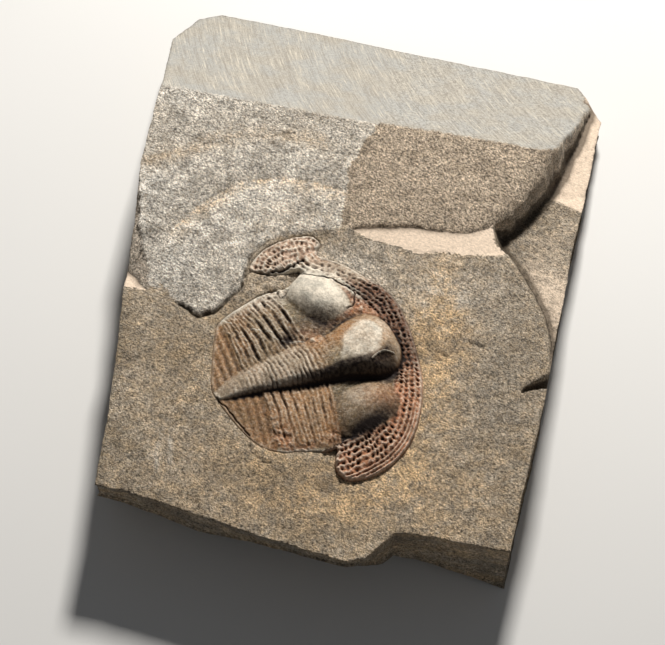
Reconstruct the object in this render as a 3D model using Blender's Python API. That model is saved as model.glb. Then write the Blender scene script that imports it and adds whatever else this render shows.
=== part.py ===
"""A trilobite fossil in its slab of rock, lying on the slab's back.

Two solids: the slab with a pocket cut for the fossil, and the fossil in it. Both are reliefs:
a plan triangulated along its own ridge lines, raised by a height formula, and closed below.
Plan sizes and heights are in millimetres and are scaled to metres when a mesh is made.
+X is to the right, +Y towards the sawn side, +Z out of the fossil face, and the origin is
under the middle of the slab.
"""

import math

import bmesh
import bpy
import numpy as np
from mathutils import Vector
from mathutils.geometry import delaunay_2d_cdt

MM = 0.001
SEED = 11

# Slab: levels and slopes of its faces
FOSSIL_BED = 15.0
UPPER_BED = 15.6
UPPER_BED_RISE = 0.018
GROOVE_SLOPE = 0.2
LEDGE_START_X, LEDGE_START_Y = 15.0, -14.0
LEDGE_SLOPE = 0.22
FOSSIL_BED_RISER = 3.0
UPPER_BED_RISER = 4.0
UPPER_BED_TILT = -0.01
LIP_X, LIP_RADIUS = [-2.0, 14.0], [0.2, 2.2]
LIP_REACH = 0.97
SAW_TOP = 16.0
SAW_NEAR_Y = 22.2
SAW_SLOPE = 0.705
SAW_SKEW = 0.045
SPALL_SLOPE = 1.5
SPALL_MARGIN = 1.2
NOTCH_SLOPE = 0.75
CHIP_SLOPE = 1.1
CHIP_Y = -9.9

# Slab: outline of the fossil face, anticlockwise from the lower left corner
SLAB_OUTLINE = [
    (-29.2, -40.5), (-24.9, -40.8), (-15.4, -42.3), (-8.1, -43.8), (-0.9, -44.8), (6.9, -46.0),
    (9.5, -45.0), (11.8, -42.0), (13.0, -40.7), (16.5, -40.4), (22.1, -40.7), (29.1, -40.9),
    (30.0, -26.9), (30.8, -17.5), (31.3, -2.6), (31.9, 11.6), (32.5, 19.2), (33.3, 34.2),
    (31.7, 36.7), (29.0, 41.1), (17.0, 42.2), (1.1, 43.6), (-15.0, 45.2), (-27.6, 46.0),
    (-30.7, 43.7), (-33.3, 36.5), (-32.0, 24.0), (-32.5, 9.7), (-32.2, 5.1), (-31.7, 0.9),
    (-31.4, -5.6), (-31.2, -10.0), (-30.4, -18.2), (-29.6, -27.7),
]

LOWER_EDGE_POINTS = 12

# Slab: edges of the broken beds, seen from above
UPPER_BED_EDGE = [
    (30.2, 35.7), (28.6, 28.0), (27.2, 22.0), (26.0, 18.0), (24.4, 14.2), (22.0, 10.4),
    (19.4, 8.0), (16.6, 6.9), (12.3, 6.7), (6.4, 6.7), (1.5, 5.4), (-1.4, 4.8), (-5.5, 3.4),
    (-9.0, 2.4), (-12.2, 0.6), (-14.2, -2.0), (-14.6, -5.0), (-14.9, -7.6), (-16.5, -9.5),
    (-17.8, -11.7), (-19.7, -11.7), (-26.1, -10.5), (-31.2, -10.2),
]
FOSSIL_BED_CREST = [(-1.9, 3.5), (2.5, 3.4), (6.9, 3.3), (12.7, 3.6), (18.5, 4.4), (22.0, 5.0)]
FOSSIL_BED_EDGE = [
    (20.0, 12.0), (21.3, 8.5), (22.0, 5.0), (24.2, 2.1), (26.3, 0.0), (28.3, -3.7),
    (29.8, -6.6), (30.4, -8.9), (30.9, -14.4),
]
NOTCH_EDGE = [
    (-33.0, 10.2), (-31.8, 4.9), (-30.9, 0.9), (-29.7, -3.6), (-28.2, -6.2), (-26.4, -9.7),
]
BITE = (29.8, -15.2)
BITE_RADIUS = 1.8
BITE_DEPTH = 1.6

# Slab: height of the spalled lower edge above the table, from left to right
SPALL_X = [-29.0, -15.0, -7.0, 7.0, 9.5, 11.7, 17.0, 20.0, 29.0]
SPALL_HEIGHT = [11.0, 8.3, 11.5, 13.0, 12.0, 6.0, 5.0, 4.0, 0.0]

# Fossil: its own axes, u to the head along the midline and v across to the upper left
FOSSIL_CENTRE = (-4.7, -18.9)
HEADING = math.radians(26.0)
ACROSS = math.radians(121.3)

# Fossil: margin in (u, v), from the loose fringe piece round the head to the tail and back
FOSSIL_MARGIN = [
    (-0.25, 17.0), (1.4, 18.9), (3.9, 20.0), (7.0, 20.3), (9.8, 19.8), (10.8, 18.25), (9.7, 16.7),
    (11.8, 15.0), (13.4, 13.4), (15.5, 10.4), (16.8, 8.6), (17.6, 5.8), (17.7, 2.35),
    (17.3, -1.7), (16.25, -6.45), (14.3, -10.8), (11.4, -14.85), (7.9, -17.4), (4.05, -18.6),
    (1.0, -18.3), (-0.2, -16.8), (0.1, -15.0), (1.0, -13.3), (-0.7, -13.1), (-3.9, -12.1),
    (-6.2, -11.6), (-8.6, -10.0), (-10.1, -7.4), (-11.3, -3.8), (-11.9, -1.1), (-12.0, 0.6),
    (-10.9, 3.6), (-8.9, 8.0), (-7.1, 10.5), (-2.3, 12.3), (0.6, 12.9), (3.9, 12.8),
    (6.3, 14.7), (2.75, 15.2),
]
FRINGE_INNER = [
    (5.4, 15.5), (8.3, 15.0), (10.7, 13.2), (12.7, 9.9), (13.8, 7.6), (15.4, 4.3), (15.9, 0.3),
    (14.6, -4.0), (12.9, -7.4), (11.5, -9.6), (8.3, -12.0), (4.2, -13.6), (1.2, -13.2),
]
FRINGE_EDGE_POINTS = 21
HEAD_BACK_U = 3.0

# Fossil: midline ridge, half width and height against u, and how far its top leans to the lower side
RIDGE_U = [-12.3, -9.0, -5.5, -3.0, 0.0, 3.0, 4.5, 6.8, 8.5, 10.3, 12.3, 13.8, 14.9, 15.5]
RIDGE_HALF_WIDTH = [0.4, 1.4, 2.3, 2.7, 3.0, 3.2, 3.3, 3.9, 4.5, 4.8, 4.6, 3.8, 2.3, 0.5]
RIDGE_HEIGHT = [0.3, 0.9, 1.6, 2.0, 2.4, 2.9, 3.4, 4.1, 4.5, 4.6, 4.1, 3.1, 1.8, 0.5]
RIDGE_MIDDLE_V = 0.3
RIDGE_LEAN = 0.32
RIDGE_FLATNESS = 2.3
RIDGE_ROUNDNESS = 0.6
RING_PITCH = 0.95
RING_DEPTH = 0.16
RINGS_END_U = 4.0

# Fossil: cheek lobes as (u, v, half length, half width, turn from u, height)
CHEEKS = [
    (7.5, 9.6, 5.2, 3.9, math.radians(-62.0), 3.1),
    (6.7, -8.5, 5.7, 4.4, math.radians(24.0), 3.0),
]
CHEEK_ROUNDNESS = 0.62

# Fossil: ribs of the thorax, swept back from the midline on the upper and lower sides
RIBS = 6
RIBS_START, RIBS_END = -5.5, 2.6
RIB_PITCH = (RIBS_END - RIBS_START) / RIBS
RIB_DEPTH = 0.26
SWEEP_START_V = 2.0
SWEEP_UPPER, SWEEP_LOWER = 0.022, 0.010
FLANK_HEIGHT = 1.15
FLANK_REACH = 7.0
RIM_HEIGHT = 0.3

# Fossil: pits of the fringe, in rows along its outer edge
PIT_ROW = 1.4
PIT_PITCH = 1.25
PIT_DEPTH = 0.42
FRINGE_WIDTH = 6.0

# Pocket in the slab, and the gap left all round the fossil
POCKET_FLOOR = 12.2
GAP = 0.3

# Spacing of the mesh points
SLAB_STEP = 2.0
EDGE_STEP = 1.6
MARGIN_STEP = 0.9
FOSSIL_STEP = 0.85
FOOT_STEP, FOOT_REACH = 0.05, 3.5
UPPER_FOOT_POINTS = 36
RING_CLEARANCE = 0.5
WALL_ROUGHNESS = 0.35
WALL_RINGS = 3


# Plan geometry

def resample(line, step, closed):
    """Points about one step apart along a line, with every corner kept."""
    ends = list(line) + ([line[0]] if closed else [])
    points = []
    for start, end in zip(ends[:-1], ends[1:]):
        count = max(1, round(math.dist(start, end) / step))
        for index in range(count):
            part = index / count
            points.append((start[0] + part * (end[0] - start[0]), start[1] + part * (end[1] - start[1])))
    if not closed:
        points.append(ends[-1])
    return np.array(points)


def rounded(line, step, closed):
    """A smooth curve through the points of a line, in even steps."""
    knots = [Vector(point) for point in line]
    count = len(knots)
    curve = []
    for index in range(count if closed else count - 1):
        if closed:
            a, b, c, d = (knots[(index + shift) % count] for shift in (-1, 0, 1, 2))
        else:
            a, b = knots[max(index - 1, 0)], knots[index]
            c, d = knots[index + 1], knots[min(index + 2, count - 1)]
        pieces = max(1, round((c - b).length / step))
        for piece in range(pieces):
            t = piece / pieces
            curve.append(tuple(
                b + 0.5 * t * ((c - a) + t * (2 * a - 5 * b + 4 * c - d + t * (3 * b - a - 3 * c + d)))
            ))
    if not closed:
        curve.append(tuple(knots[-1]))
    return np.array(curve)


def distance_along(x, y, line):
    """Distance from each point to an open line, and how far along the line its nearest place is."""
    nearest = np.full(np.shape(x), np.inf)
    along = np.zeros(np.shape(x))
    travelled = 0.0
    for (ax, ay), (bx, by) in zip(line[:-1], line[1:]):
        length = math.hypot(bx - ax, by - ay)
        part = np.clip(((x - ax) * (bx - ax) + (y - ay) * (by - ay)) / length**2, 0.0, 1.0)
        gap = np.hypot(x - ax - part * (bx - ax), y - ay - part * (by - ay))
        closer = gap < nearest
        nearest = np.where(closer, gap, nearest)
        along = np.where(closer, travelled + part * length, along)
        travelled += length
    return nearest, along


def inside(x, y, ring):
    """True where a point is inside a closed ring."""
    result = np.zeros(np.shape(x), dtype=bool)
    for (ax, ay), (bx, by) in zip(ring, np.roll(ring, -1, axis=0)):
        if ay == by:
            continue
        crosses = (ay > y) != (by > y)
        result ^= crosses & (x < ax + (y - ay) * (bx - ax) / (by - ay))
    return result


def foot_line(line, upper, lower, reach):
    """Where the face below a broken edge meets what lies under it, to the right of the line."""
    line = np.asarray(line)
    tangent = np.gradient(line, axis=0)
    tangent /= np.linalg.norm(tangent, axis=1)[:, None]
    outward = np.column_stack((-tangent[:, 1], tangent[:, 0]))
    steps = np.arange(FOOT_STEP, reach, FOOT_STEP)
    x = line[:, :1] + outward[:, :1] * steps
    y = line[:, 1:] + outward[:, 1:] * steps
    reached = upper(x, y) <= lower(x, y)
    first = np.argmax(reached, axis=1)
    rows = np.flatnonzero(reached.any(axis=1) & (first > 1))
    return np.column_stack((x[rows, first[rows]], y[rows, first[rows]]))


def clear_of_ring(line, ring):
    """The stretch of a line that is well inside a ring."""
    x, y = line.T
    gap, _ = distance_along(x, y, np.vstack((ring, ring[:1])))
    return line[inside(x, y, ring) & (gap > RING_CLEARANCE)]


def offset_ring(ring, distance):
    """The ring moved outwards by a distance, for a ring that runs anticlockwise."""
    ahead, behind = np.roll(ring, -1, axis=0), np.roll(ring, 1, axis=0)
    tangent = ahead - behind
    tangent /= np.linalg.norm(tangent, axis=1)[:, None]
    return ring + distance * np.column_stack((tangent[:, 1], -tangent[:, 0]))


def to_plan(points):
    """Fossil (u, v) to slab (x, y)."""
    u, v = np.asarray(points, dtype=float).T
    x = FOSSIL_CENTRE[0] + u * math.cos(HEADING) + v * math.cos(ACROSS)
    y = FOSSIL_CENTRE[1] + u * math.sin(HEADING) + v * math.sin(ACROSS)
    return np.column_stack((x, y))


def anticlockwise(ring):
    """The same ring, turned to run anticlockwise."""
    x, y = ring.T
    area = np.sum(x * np.roll(y, -1) - y * np.roll(x, -1))
    return ring if area > 0 else ring[::-1]


def waves(x, y, length, seed):
    """A smooth random relief between about -1 and 1, with bumps about one length apart."""
    random = np.random.default_rng(seed)
    total = np.zeros(np.shape(x))
    for _ in range(6):
        heading, phase, stretch = random.uniform(0.0, math.tau, 2).tolist() + [random.uniform(0.7, 1.4)]
        total += np.sin(math.tau * stretch / length * (x * math.cos(heading) + y * math.sin(heading)) + phase)
    return total / 3.0


# Slab relief

BEYOND = 45.0
UPPER_BED_AREA = UPPER_BED_EDGE + [(-BEYOND, -10.0), (-BEYOND, 60.0), (31.0, 60.0)]
BROKEN_AREA = FOSSIL_BED_EDGE + [(BEYOND, -14.4), (BEYOND, 60.0), (20.0, 60.0)]
NOTCH_AREA = NOTCH_EDGE + [(-BEYOND, -9.7), (-BEYOND, 10.2)]


def saw_height(x, y):
    """The plane of the sawn face."""
    return SAW_TOP - SAW_SLOPE * (y - SAW_NEAR_Y + SAW_SKEW * x)


def upper_bed_height(x, y):
    """The upper bed, with a lip that is sharp on the left and rounded on the right."""
    level = UPPER_BED + UPPER_BED_RISE * (y + 5.0) + UPPER_BED_TILT * x + 0.15 * waves(x, y, 18.0, SEED)
    gap, _ = distance_along(x, y, UPPER_BED_EDGE)
    signed = np.where(inside(x, y, np.array(UPPER_BED_AREA)), -gap, gap)
    radius = np.interp(x, LIP_X, LIP_RADIUS)
    into_lip = np.clip(signed + radius, 0.0, radius * LIP_REACH)
    lip = radius - np.sqrt(radius**2 - into_lip**2)
    return level - lip - UPPER_BED_RISER * np.clip(signed + (1.0 - LIP_REACH) * radius, 0.0, None)


def fossil_bed_height(x, y):
    """The bed that the fossil lies on, down to the break on the right and the groove behind."""
    level = FOSSIL_BED + 0.15 * waves(x, y, 24.0, SEED + 1)
    crest_x, crest_y = np.array(FOSSIL_BED_CREST).T
    groove = FOSSIL_BED - GROOVE_SLOPE * (y - np.interp(x, crest_x, crest_y))
    gap, _ = distance_along(x, y, FOSSIL_BED_EDGE)
    broken = np.where(inside(x, y, np.array(BROKEN_AREA)), gap, 0.0)
    return np.minimum(level, groove) - FOSSIL_BED_RISER * broken


def ledge_height(x, y):
    """The lower break on the right, which slopes down towards the sawn side."""
    level = FOSSIL_BED - LEDGE_SLOPE * (y - LEDGE_START_Y) + 0.2 * waves(x, y, 9.0, SEED + 2)
    return np.where((x > LEDGE_START_X) & (y > LEDGE_START_Y), level, 0.0)


def lower_ground(x, y):
    """What the upper bed's broken edge stands on."""
    return np.maximum(fossil_bed_height(x, y), ledge_height(x, y))


def slab_top(x, y):
    """Height of the slab's upper surface."""
    z = np.maximum(upper_bed_height(x, y), lower_ground(x, y))
    gap, _ = distance_along(x, y, NOTCH_EDGE)
    bevel = np.maximum(UPPER_BED - NOTCH_SLOPE * gap, FOSSIL_BED - CHIP_SLOPE * (y - CHIP_Y))
    z = np.where(inside(x, y, np.array(NOTCH_AREA)), np.minimum(z, bevel), z)
    bite = np.clip(1.0 - np.hypot(x - BITE[0], y - BITE[1]) / BITE_RADIUS, 0.0, None)
    return np.minimum(z - BITE_DEPTH * bite, saw_height(x, y))


def lower_edge_y(x):
    """Where the slab's lower edge runs."""
    return np.interp(x, *np.array(SLAB_OUTLINE[:LOWER_EDGE_POINTS]).T)


def slab_underside(x, y):
    """Height of the underside: flat, but for the spall along the lower edge."""
    depth_in = y - lower_edge_y(x)
    return np.clip(np.interp(x, SPALL_X, SPALL_HEIGHT) - SPALL_SLOPE * depth_in, 0.0, None)


# Fossil relief

def on_curve(value, places, heights):
    """A smooth curve through a short list of heights."""
    slopes = np.gradient(np.array(heights), np.array(places))
    index = np.clip(np.searchsorted(places, value) - 1, 0, len(places) - 2)
    start, span = np.take(places, index), np.diff(places)[index]
    t = np.clip((value - start) / span, 0.0, 1.0)
    low, high = np.take(heights, index), np.take(heights, index + 1)
    slope_low, slope_high = slopes[index] * span, slopes[index + 1] * span
    return (low * (1 + 2 * t) * (1 - t)**2 + high * t**2 * (3 - 2 * t)
            + slope_low * t * (1 - t)**2 - slope_high * t**2 * (1 - t))


def ridge_height(u, v):
    """The midline: the swollen front lobe, then the ringed axis down to the tail."""
    half_width = on_curve(u, RIDGE_U, RIDGE_HALF_WIDTH)
    from_top = v - RIDGE_MIDDLE_V + RIDGE_LEAN * half_width
    reach = half_width * (1.0 + np.sign(from_top) * RIDGE_LEAN)
    across = np.clip(np.abs(from_top) / reach, 0.0, 1.0)
    rings = np.where(u < RINGS_END_U, RING_DEPTH * np.cos(math.tau * u / RING_PITCH), 0.0)
    crown = (1.0 - across**RIDGE_FLATNESS)**RIDGE_ROUNDNESS
    height = (on_curve(u, RIDGE_U, RIDGE_HEIGHT) + rings) * crown
    return np.where((u > RIDGE_U[0]) & (u < RIDGE_U[-1]), height, 0.0)


def cheek_height(u, v, cheek):
    """One domed cheek lobe."""
    centre_u, centre_v, half_length, half_width, turn, height = cheek
    along = (u - centre_u) * math.cos(turn) + (v - centre_v) * math.sin(turn)
    across = (v - centre_v) * math.cos(turn) - (u - centre_u) * math.sin(turn)
    reach = (along / half_length)**2 + (across / half_width)**2
    return height * np.clip(1.0 - reach, 0.0, None)**CHEEK_ROUNDNESS


def rib_place(u, v):
    """Where a point would be along the midline if its rib were not swept back."""
    sweep = np.where(v > 0.0, SWEEP_UPPER, SWEEP_LOWER)
    return u + sweep * np.clip(np.abs(v) - SWEEP_START_V, 0.0, None)**2


def fringe_edge():
    """The outer edge of the fringe, from the loose upper piece to the lower tip."""
    return rounded(FOSSIL_MARGIN[:FRINGE_EDGE_POINTS], MARGIN_STEP / 3, closed=False)


def fossil_height(u, v):
    """Height of the fossil above its bed."""
    margin = rounded(FOSSIL_MARGIN, MARGIN_STEP, closed=True)
    to_margin, _ = distance_along(u, v, np.vstack((margin, margin[:1])))
    pillow = 1.0 - (1.0 - np.clip(to_margin / FLANK_REACH, 0.0, 1.0))**2
    base = RIM_HEIGHT + FLANK_HEIGHT * pillow

    place = rib_place(u, v)
    on_thorax = (place > RIBS_START) & (place < RIBS_END)
    phase = math.tau * (place - RIBS_START) / RIB_PITCH
    ribs = RIB_DEPTH * (np.cos(phase) + 0.45 * np.cos(2.0 * phase))
    base = base + np.where(on_thorax & (to_margin > 0.5), ribs, 0.0)

    from_edge, along_edge = distance_along(u, v, fringe_edge())
    head = np.array(FRINGE_INNER + [(HEAD_BACK_U, -13.0), (HEAD_BACK_U, 15.0)])
    fringe = (~inside(u, v, head)) & (from_edge < FRINGE_WIDTH) & ~((u < HEAD_BACK_U) & (np.abs(v) < 13.2))
    pits = (0.5 - 0.5 * np.cos(math.tau * from_edge / PIT_ROW)) * (
        0.5 + 0.5 * np.cos(math.tau * along_edge / PIT_PITCH))
    base = base - np.where(fringe, PIT_DEPTH * (2.0 * pits - 0.5), 0.0)

    for cheek in CHEEKS:
        base = np.maximum(base, cheek_height(u, v, cheek))
    return np.maximum(base, ridge_height(u, v))


# Meshes

def thin_out(points, kept, spacing):
    """Points at least one spacing from each other and from those already kept."""
    cells = {}
    result = []
    for index, (x, y) in enumerate(np.vstack((kept, points))):
        cell = (math.floor(x / spacing), math.floor(y / spacing))
        near = (other for i in (-1, 0, 1) for j in (-1, 0, 1)
                for other in cells.get((cell[0] + i, cell[1] + j), ()))
        if index < len(kept) or all(math.dist(other, (x, y)) >= spacing for other in near):
            cells.setdefault(cell, []).append((x, y))
            if index >= len(kept):
                result.append((x, y))
    return np.array(result).reshape(-1, 2)


def plan_mesh(bm, ring, creases, points, height, face_up):
    """Triangulates a plan inside its ring along its creases, raised to a height formula."""
    corners = [tuple(point) for point in ring]
    edges = [(index, (index + 1) % len(corners)) for index in range(len(corners))]
    for crease in creases:
        first = len(corners)
        corners += [tuple(point) for point in crease]
        edges += [(index, index + 1) for index in range(first, len(corners) - 1)]
    corners += [tuple(point) for point in points]
    plan, _, faces, _, _, _ = delaunay_2d_cdt([Vector(c) for c in corners], edges, [], 1, 1e-4)
    x, y = np.array([tuple(point) for point in plan]).T
    z = height(x, y)
    verts = [bm.verts.new((px * MM, py * MM, pz * MM)) for px, py, pz in zip(x, y, z)]
    for face in faces:
        corners_up = [verts[index] for index in face]
        bm.faces.new(corners_up if face_up else corners_up[::-1])
    return verts


def wall(bm, ring, levels):
    """Joins stacked rings of the same points into a closed wall, the lowest ring first."""
    rows = [[bm.verts.new((x * MM, y * MM, z * MM)) for x, y, z in level] for level in levels]
    for lower, upper in zip(rows[:-1], rows[1:]):
        for index in range(len(ring)):
            after = (index + 1) % len(ring)
            bm.faces.new((lower[index], lower[after], upper[after], upper[index]))


def close_up(bm):
    """Welds the plan meshes to their walls and splits every face into triangles."""
    bmesh.ops.remove_doubles(bm, verts=bm.verts, dist=0.002 * MM)
    bmesh.ops.triangulate(bm, faces=bm.faces)
    bmesh.ops.recalc_face_normals(bm, faces=bm.faces)


def new_material(name, colour, roughness):
    """A plain stone finish."""
    material = bpy.data.materials.new(name)
    material.use_nodes = True
    shader = material.node_tree.nodes["Principled BSDF"]
    shader.inputs["Base Color"].default_value = (*colour, 1.0)
    shader.inputs["Roughness"].default_value = roughness
    shader.inputs["Metallic"].default_value = 0.0
    return material


def new_piece(name, bm, collection, material, sharp_angle):
    """An object of its own for one piece."""
    mesh = bpy.data.meshes.new(name)
    bm.to_mesh(mesh)
    bm.free()
    mesh.materials.append(material)
    mesh.shade_smooth()
    mesh.set_sharp_from_angle(angle=sharp_angle)
    piece = bpy.data.objects.new(name, mesh)
    collection.objects.link(piece)


def grid_points(low, high, step, seed):
    """A slightly shaken grid over a box."""
    random = np.random.default_rng(seed)
    x, y = np.meshgrid(np.arange(low[0], high[0], step), np.arange(low[1], high[1], step))
    shake = random.uniform(-0.25 * step, 0.25 * step, (2, x.size))
    return np.column_stack((x.ravel() + shake[0], y.ravel() + shake[1]))


def fossil_ring(gap):
    """The fossil's margin on the slab, moved outwards by a gap."""
    margin = anticlockwise(to_plan(rounded(FOSSIL_MARGIN, MARGIN_STEP, closed=True)))
    return offset_ring(margin, gap)


def build_matrix(collection):
    """The slab of rock, with the pocket that holds the fossil."""
    bm = bmesh.new()
    ring = anticlockwise(resample(SLAB_OUTLINE, EDGE_STEP, closed=True))
    pocket = fossil_ring(GAP)

    saw_x = np.linspace(-31.9, 26.6, 30)
    saw_y = SAW_NEAR_Y - SAW_SKEW * saw_x
    for _ in range(8):
        saw_y = saw_y + (saw_height(saw_x, saw_y) - upper_bed_height(saw_x, saw_y)) / SAW_SLOPE
    upper_edge, bed_edge, crest, notch = (
        resample(line, EDGE_STEP, closed=False)
        for line in (UPPER_BED_EDGE, FOSSIL_BED_EDGE[2:], FOSSIL_BED_CREST, NOTCH_EDGE)
    )
    lines = [
        np.column_stack((saw_x, saw_y)), upper_edge, bed_edge, crest, notch,
        foot_line(upper_edge[:UPPER_FOOT_POINTS], upper_bed_height, lower_ground, FOOT_REACH),
        foot_line(bed_edge[::-1], fossil_bed_height, ledge_height, FOOT_REACH)[::-1],
    ]
    lines = [clear_of_ring(line, ring) for line in lines]
    pocket_line = np.vstack((pocket, pocket[:1]))
    grid = grid_points((-34.0, -47.0), (34.0, 47.0), SLAB_STEP, SEED)
    x, y = grid.T
    to_ring, _ = distance_along(x, y, np.vstack((ring, ring[:1])))
    to_pocket, _ = distance_along(x, y, pocket_line)
    keep = inside(x, y, ring) & (to_ring > 0.8) & ~inside(x, y, pocket) & (to_pocket > 0.8)
    keep &= y < np.interp(x, saw_x, saw_y)
    grid = thin_out(grid[keep], np.vstack(lines), 0.8)
    verts = plan_mesh(bm, ring, lines + [pocket_line], grid, slab_top, face_up=True)

    floor = []
    for face in bm.faces:
        cx, cy, _ = face.calc_center_median() / MM
        if inside(cx, cy, pocket):
            floor.append(face)
    sunk = bmesh.ops.extrude_face_region(bm, geom=floor)
    bmesh.ops.delete(bm, geom=floor, context="FACES")
    for item in sunk["geom"]:
        if isinstance(item, bmesh.types.BMVert):
            item.co.z = POCKET_FLOOR * MM

    spall_x = np.linspace(-28.0, 28.0, 30)
    spall_end = lower_edge_y(spall_x) + np.interp(spall_x, SPALL_X, SPALL_HEIGHT) / SPALL_SLOPE
    spall_lines = [
        clear_of_ring(np.column_stack((spall_x, spall_end + flat)), ring) for flat in (0.0, SPALL_MARGIN)
    ]
    plan_mesh(bm, ring, spall_lines, [], slab_underside, face_up=False)

    x, y = ring.T
    low, high = slab_underside(x, y), slab_top(x, y)
    levels = []
    for row in range(WALL_RINGS + 1):
        part = row / WALL_RINGS
        inset = WALL_ROUGHNESS * (0.5 + 0.5 * waves(x + 7.0 * row, y, 6.0, SEED + 4))
        moved = offset_ring(ring, -1.0)
        share = inset if 0 < row < WALL_RINGS else np.zeros(len(ring))
        wx, wy = (ring + (moved - ring) * share[:, None]).T
        levels.append(np.column_stack((wx, wy, low + part * (high - low))))
    wall(bm, ring, levels)
    close_up(bm)
    rock = new_material("matrix rock", (0.30, 0.25, 0.17), 0.92)
    new_piece("matrix", bm, collection, rock, math.radians(35.0))


def fossil_points(ring):
    """Mesh points in the pattern of each area: pits of the fringe, ribs, rings, then the domes."""
    outer_edge = fringe_edge()
    steps = np.linalg.norm(np.diff(outer_edge, axis=0), axis=1)
    travelled = np.concatenate(([0.0], np.cumsum(steps)))
    along = np.arange(0.0, travelled[-1], PIT_PITCH / 2)
    eu, ev = np.interp(along, travelled, outer_edge[:, 0]), np.interp(along, travelled, outer_edge[:, 1])
    tangent = np.column_stack((np.gradient(eu), np.gradient(ev)))
    tangent /= np.linalg.norm(tangent, axis=1)[:, None]
    points = []
    for row in range(1, 9):
        depth = row * PIT_ROW / 2
        pu, pv = eu + depth * tangent[:, 1], ev - depth * tangent[:, 0]
        true_depth, _ = distance_along(pu, pv, outer_edge)
        kept = np.abs(true_depth - depth) < 0.1
        points.append(np.column_stack((pu[kept], pv[kept])))

    for quarter in range(4 * RIBS + 1):
        place = RIBS_START + quarter * RIB_PITCH / 4
        for side, sweep in ((1.0, SWEEP_UPPER), (-1.0, SWEEP_LOWER)):
            v = side * np.arange(2.6, 13.4, 1.2)
            points.append(np.column_stack((place - sweep * (np.abs(v) - SWEEP_START_V)**2, v)))

    for half_ring in range(int((RINGS_END_U - RIDGE_U[0]) / (RING_PITCH / 2))):
        u = RINGS_END_U - half_ring * RING_PITCH / 2
        half_width = np.interp(u, RIDGE_U, RIDGE_HALF_WIDTH)
        v = RIDGE_MIDDLE_V + half_width * np.array([-1.0, -0.9, -0.6, -0.3, 0.1, 0.6, 0.9, 1.0])
        points.append(np.column_stack((np.full(8, u), v)))

    points.append(grid_points((2.0, -14.0), (16.0, 15.0), FOSSIL_STEP, SEED + 5))
    points.append(grid_points((-12.0, -13.0), (-4.0, 13.0), 1.5 * FOSSIL_STEP, SEED + 6))
    plan = to_plan(np.vstack(points))
    x, y = plan.T
    to_ring, _ = distance_along(x, y, np.vstack((ring, ring[:1])))
    return thin_out(plan[inside(x, y, ring) & (to_ring > 0.35)], ring, 0.3)


def to_fossil(x, y):
    """Slab (x, y) to fossil (u, v)."""
    turn = math.sin(ACROSS - HEADING)
    dx, dy = x - FOSSIL_CENTRE[0], y - FOSSIL_CENTRE[1]
    u = (dx * math.sin(ACROSS) - dy * math.cos(ACROSS)) / turn
    v = (dy * math.cos(HEADING) - dx * math.sin(HEADING)) / turn
    return u, v


def fossil_top(x, y):
    """Height of the fossil's upper surface above the table."""
    return FOSSIL_BED + fossil_height(*to_fossil(x, y))


def fossil_base(x, y):
    """Height of the fossil's underside, just clear of the pocket."""
    return np.full(np.shape(x), POCKET_FLOOR + GAP)


def build_trilobite(collection):
    """The fossil: fringe, lobes, thorax and tail as one piece."""
    bm = bmesh.new()
    ring = fossil_ring(0.0)
    plan_mesh(bm, ring, [], fossil_points(ring), fossil_top, face_up=True)
    plan_mesh(bm, ring, [], [], fossil_base, face_up=False)
    x, y = ring.T
    wall(bm, ring, [np.column_stack((x, y, height(x, y))) for height in (fossil_base, fossil_top)])
    close_up(bm)
    shell = new_material("fossil shell", (0.22, 0.13, 0.07), 0.7)
    new_piece("trilobite", bm, collection, shell, math.radians(50.0))


def main():
    """Clears the scene and builds both pieces."""
    for thing in list(bpy.data.objects):
        bpy.data.objects.remove(thing, do_unlink=True)
    collection = bpy.data.collections.new("Trilobite fossil")
    bpy.context.scene.collection.children.link(collection)
    build_matrix(collection)
    build_trilobite(collection)


main()
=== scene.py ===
"""The looks of the trilobite fossil: fine rock and fossil surfaces, their finishes, the light and the camera.

Heights and plan sizes are in millimetres here, and are scaled to metres when a mesh is made. The
slab's plan is (x, y) in the part's own frame. The fossil has its own plan axes (u, v), u along its
midline to the head and v across to the upper left.
"""

import math

import bmesh
import bpy
import numpy as np
from bpy.props import FloatProperty, FloatVectorProperty, IntProperty, PointerProperty
from mathutils import Matrix, Vector, kdtree
from mathutils.geometry import delaunay_2d_cdt


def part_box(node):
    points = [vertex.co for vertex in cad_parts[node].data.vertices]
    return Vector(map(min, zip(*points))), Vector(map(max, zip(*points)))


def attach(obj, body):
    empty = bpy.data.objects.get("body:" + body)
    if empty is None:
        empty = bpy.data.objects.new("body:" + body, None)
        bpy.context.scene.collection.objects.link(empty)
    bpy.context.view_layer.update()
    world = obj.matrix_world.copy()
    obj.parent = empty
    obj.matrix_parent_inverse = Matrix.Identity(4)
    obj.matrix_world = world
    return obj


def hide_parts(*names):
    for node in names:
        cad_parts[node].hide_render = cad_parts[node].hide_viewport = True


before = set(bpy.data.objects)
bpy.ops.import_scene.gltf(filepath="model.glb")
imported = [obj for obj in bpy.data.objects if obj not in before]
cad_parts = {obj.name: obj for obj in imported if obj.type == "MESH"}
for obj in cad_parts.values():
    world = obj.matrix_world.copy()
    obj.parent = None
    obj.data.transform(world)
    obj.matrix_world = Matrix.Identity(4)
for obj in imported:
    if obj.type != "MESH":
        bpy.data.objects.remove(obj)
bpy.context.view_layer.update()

bl_info = {
    "name": "Trilobite Slab",
    "version": (1, 0, 0),
    "blender": (4, 5, 0),
    "location": "3D View > Sidebar > Fossil",
    "description": "Builds a trilobite fossil in its slab of rock, with its finishes, light and camera",
    "category": "Object",
}

MM = 0.001
FOSSIL_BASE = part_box("trilobite")[0][2] / MM

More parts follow.
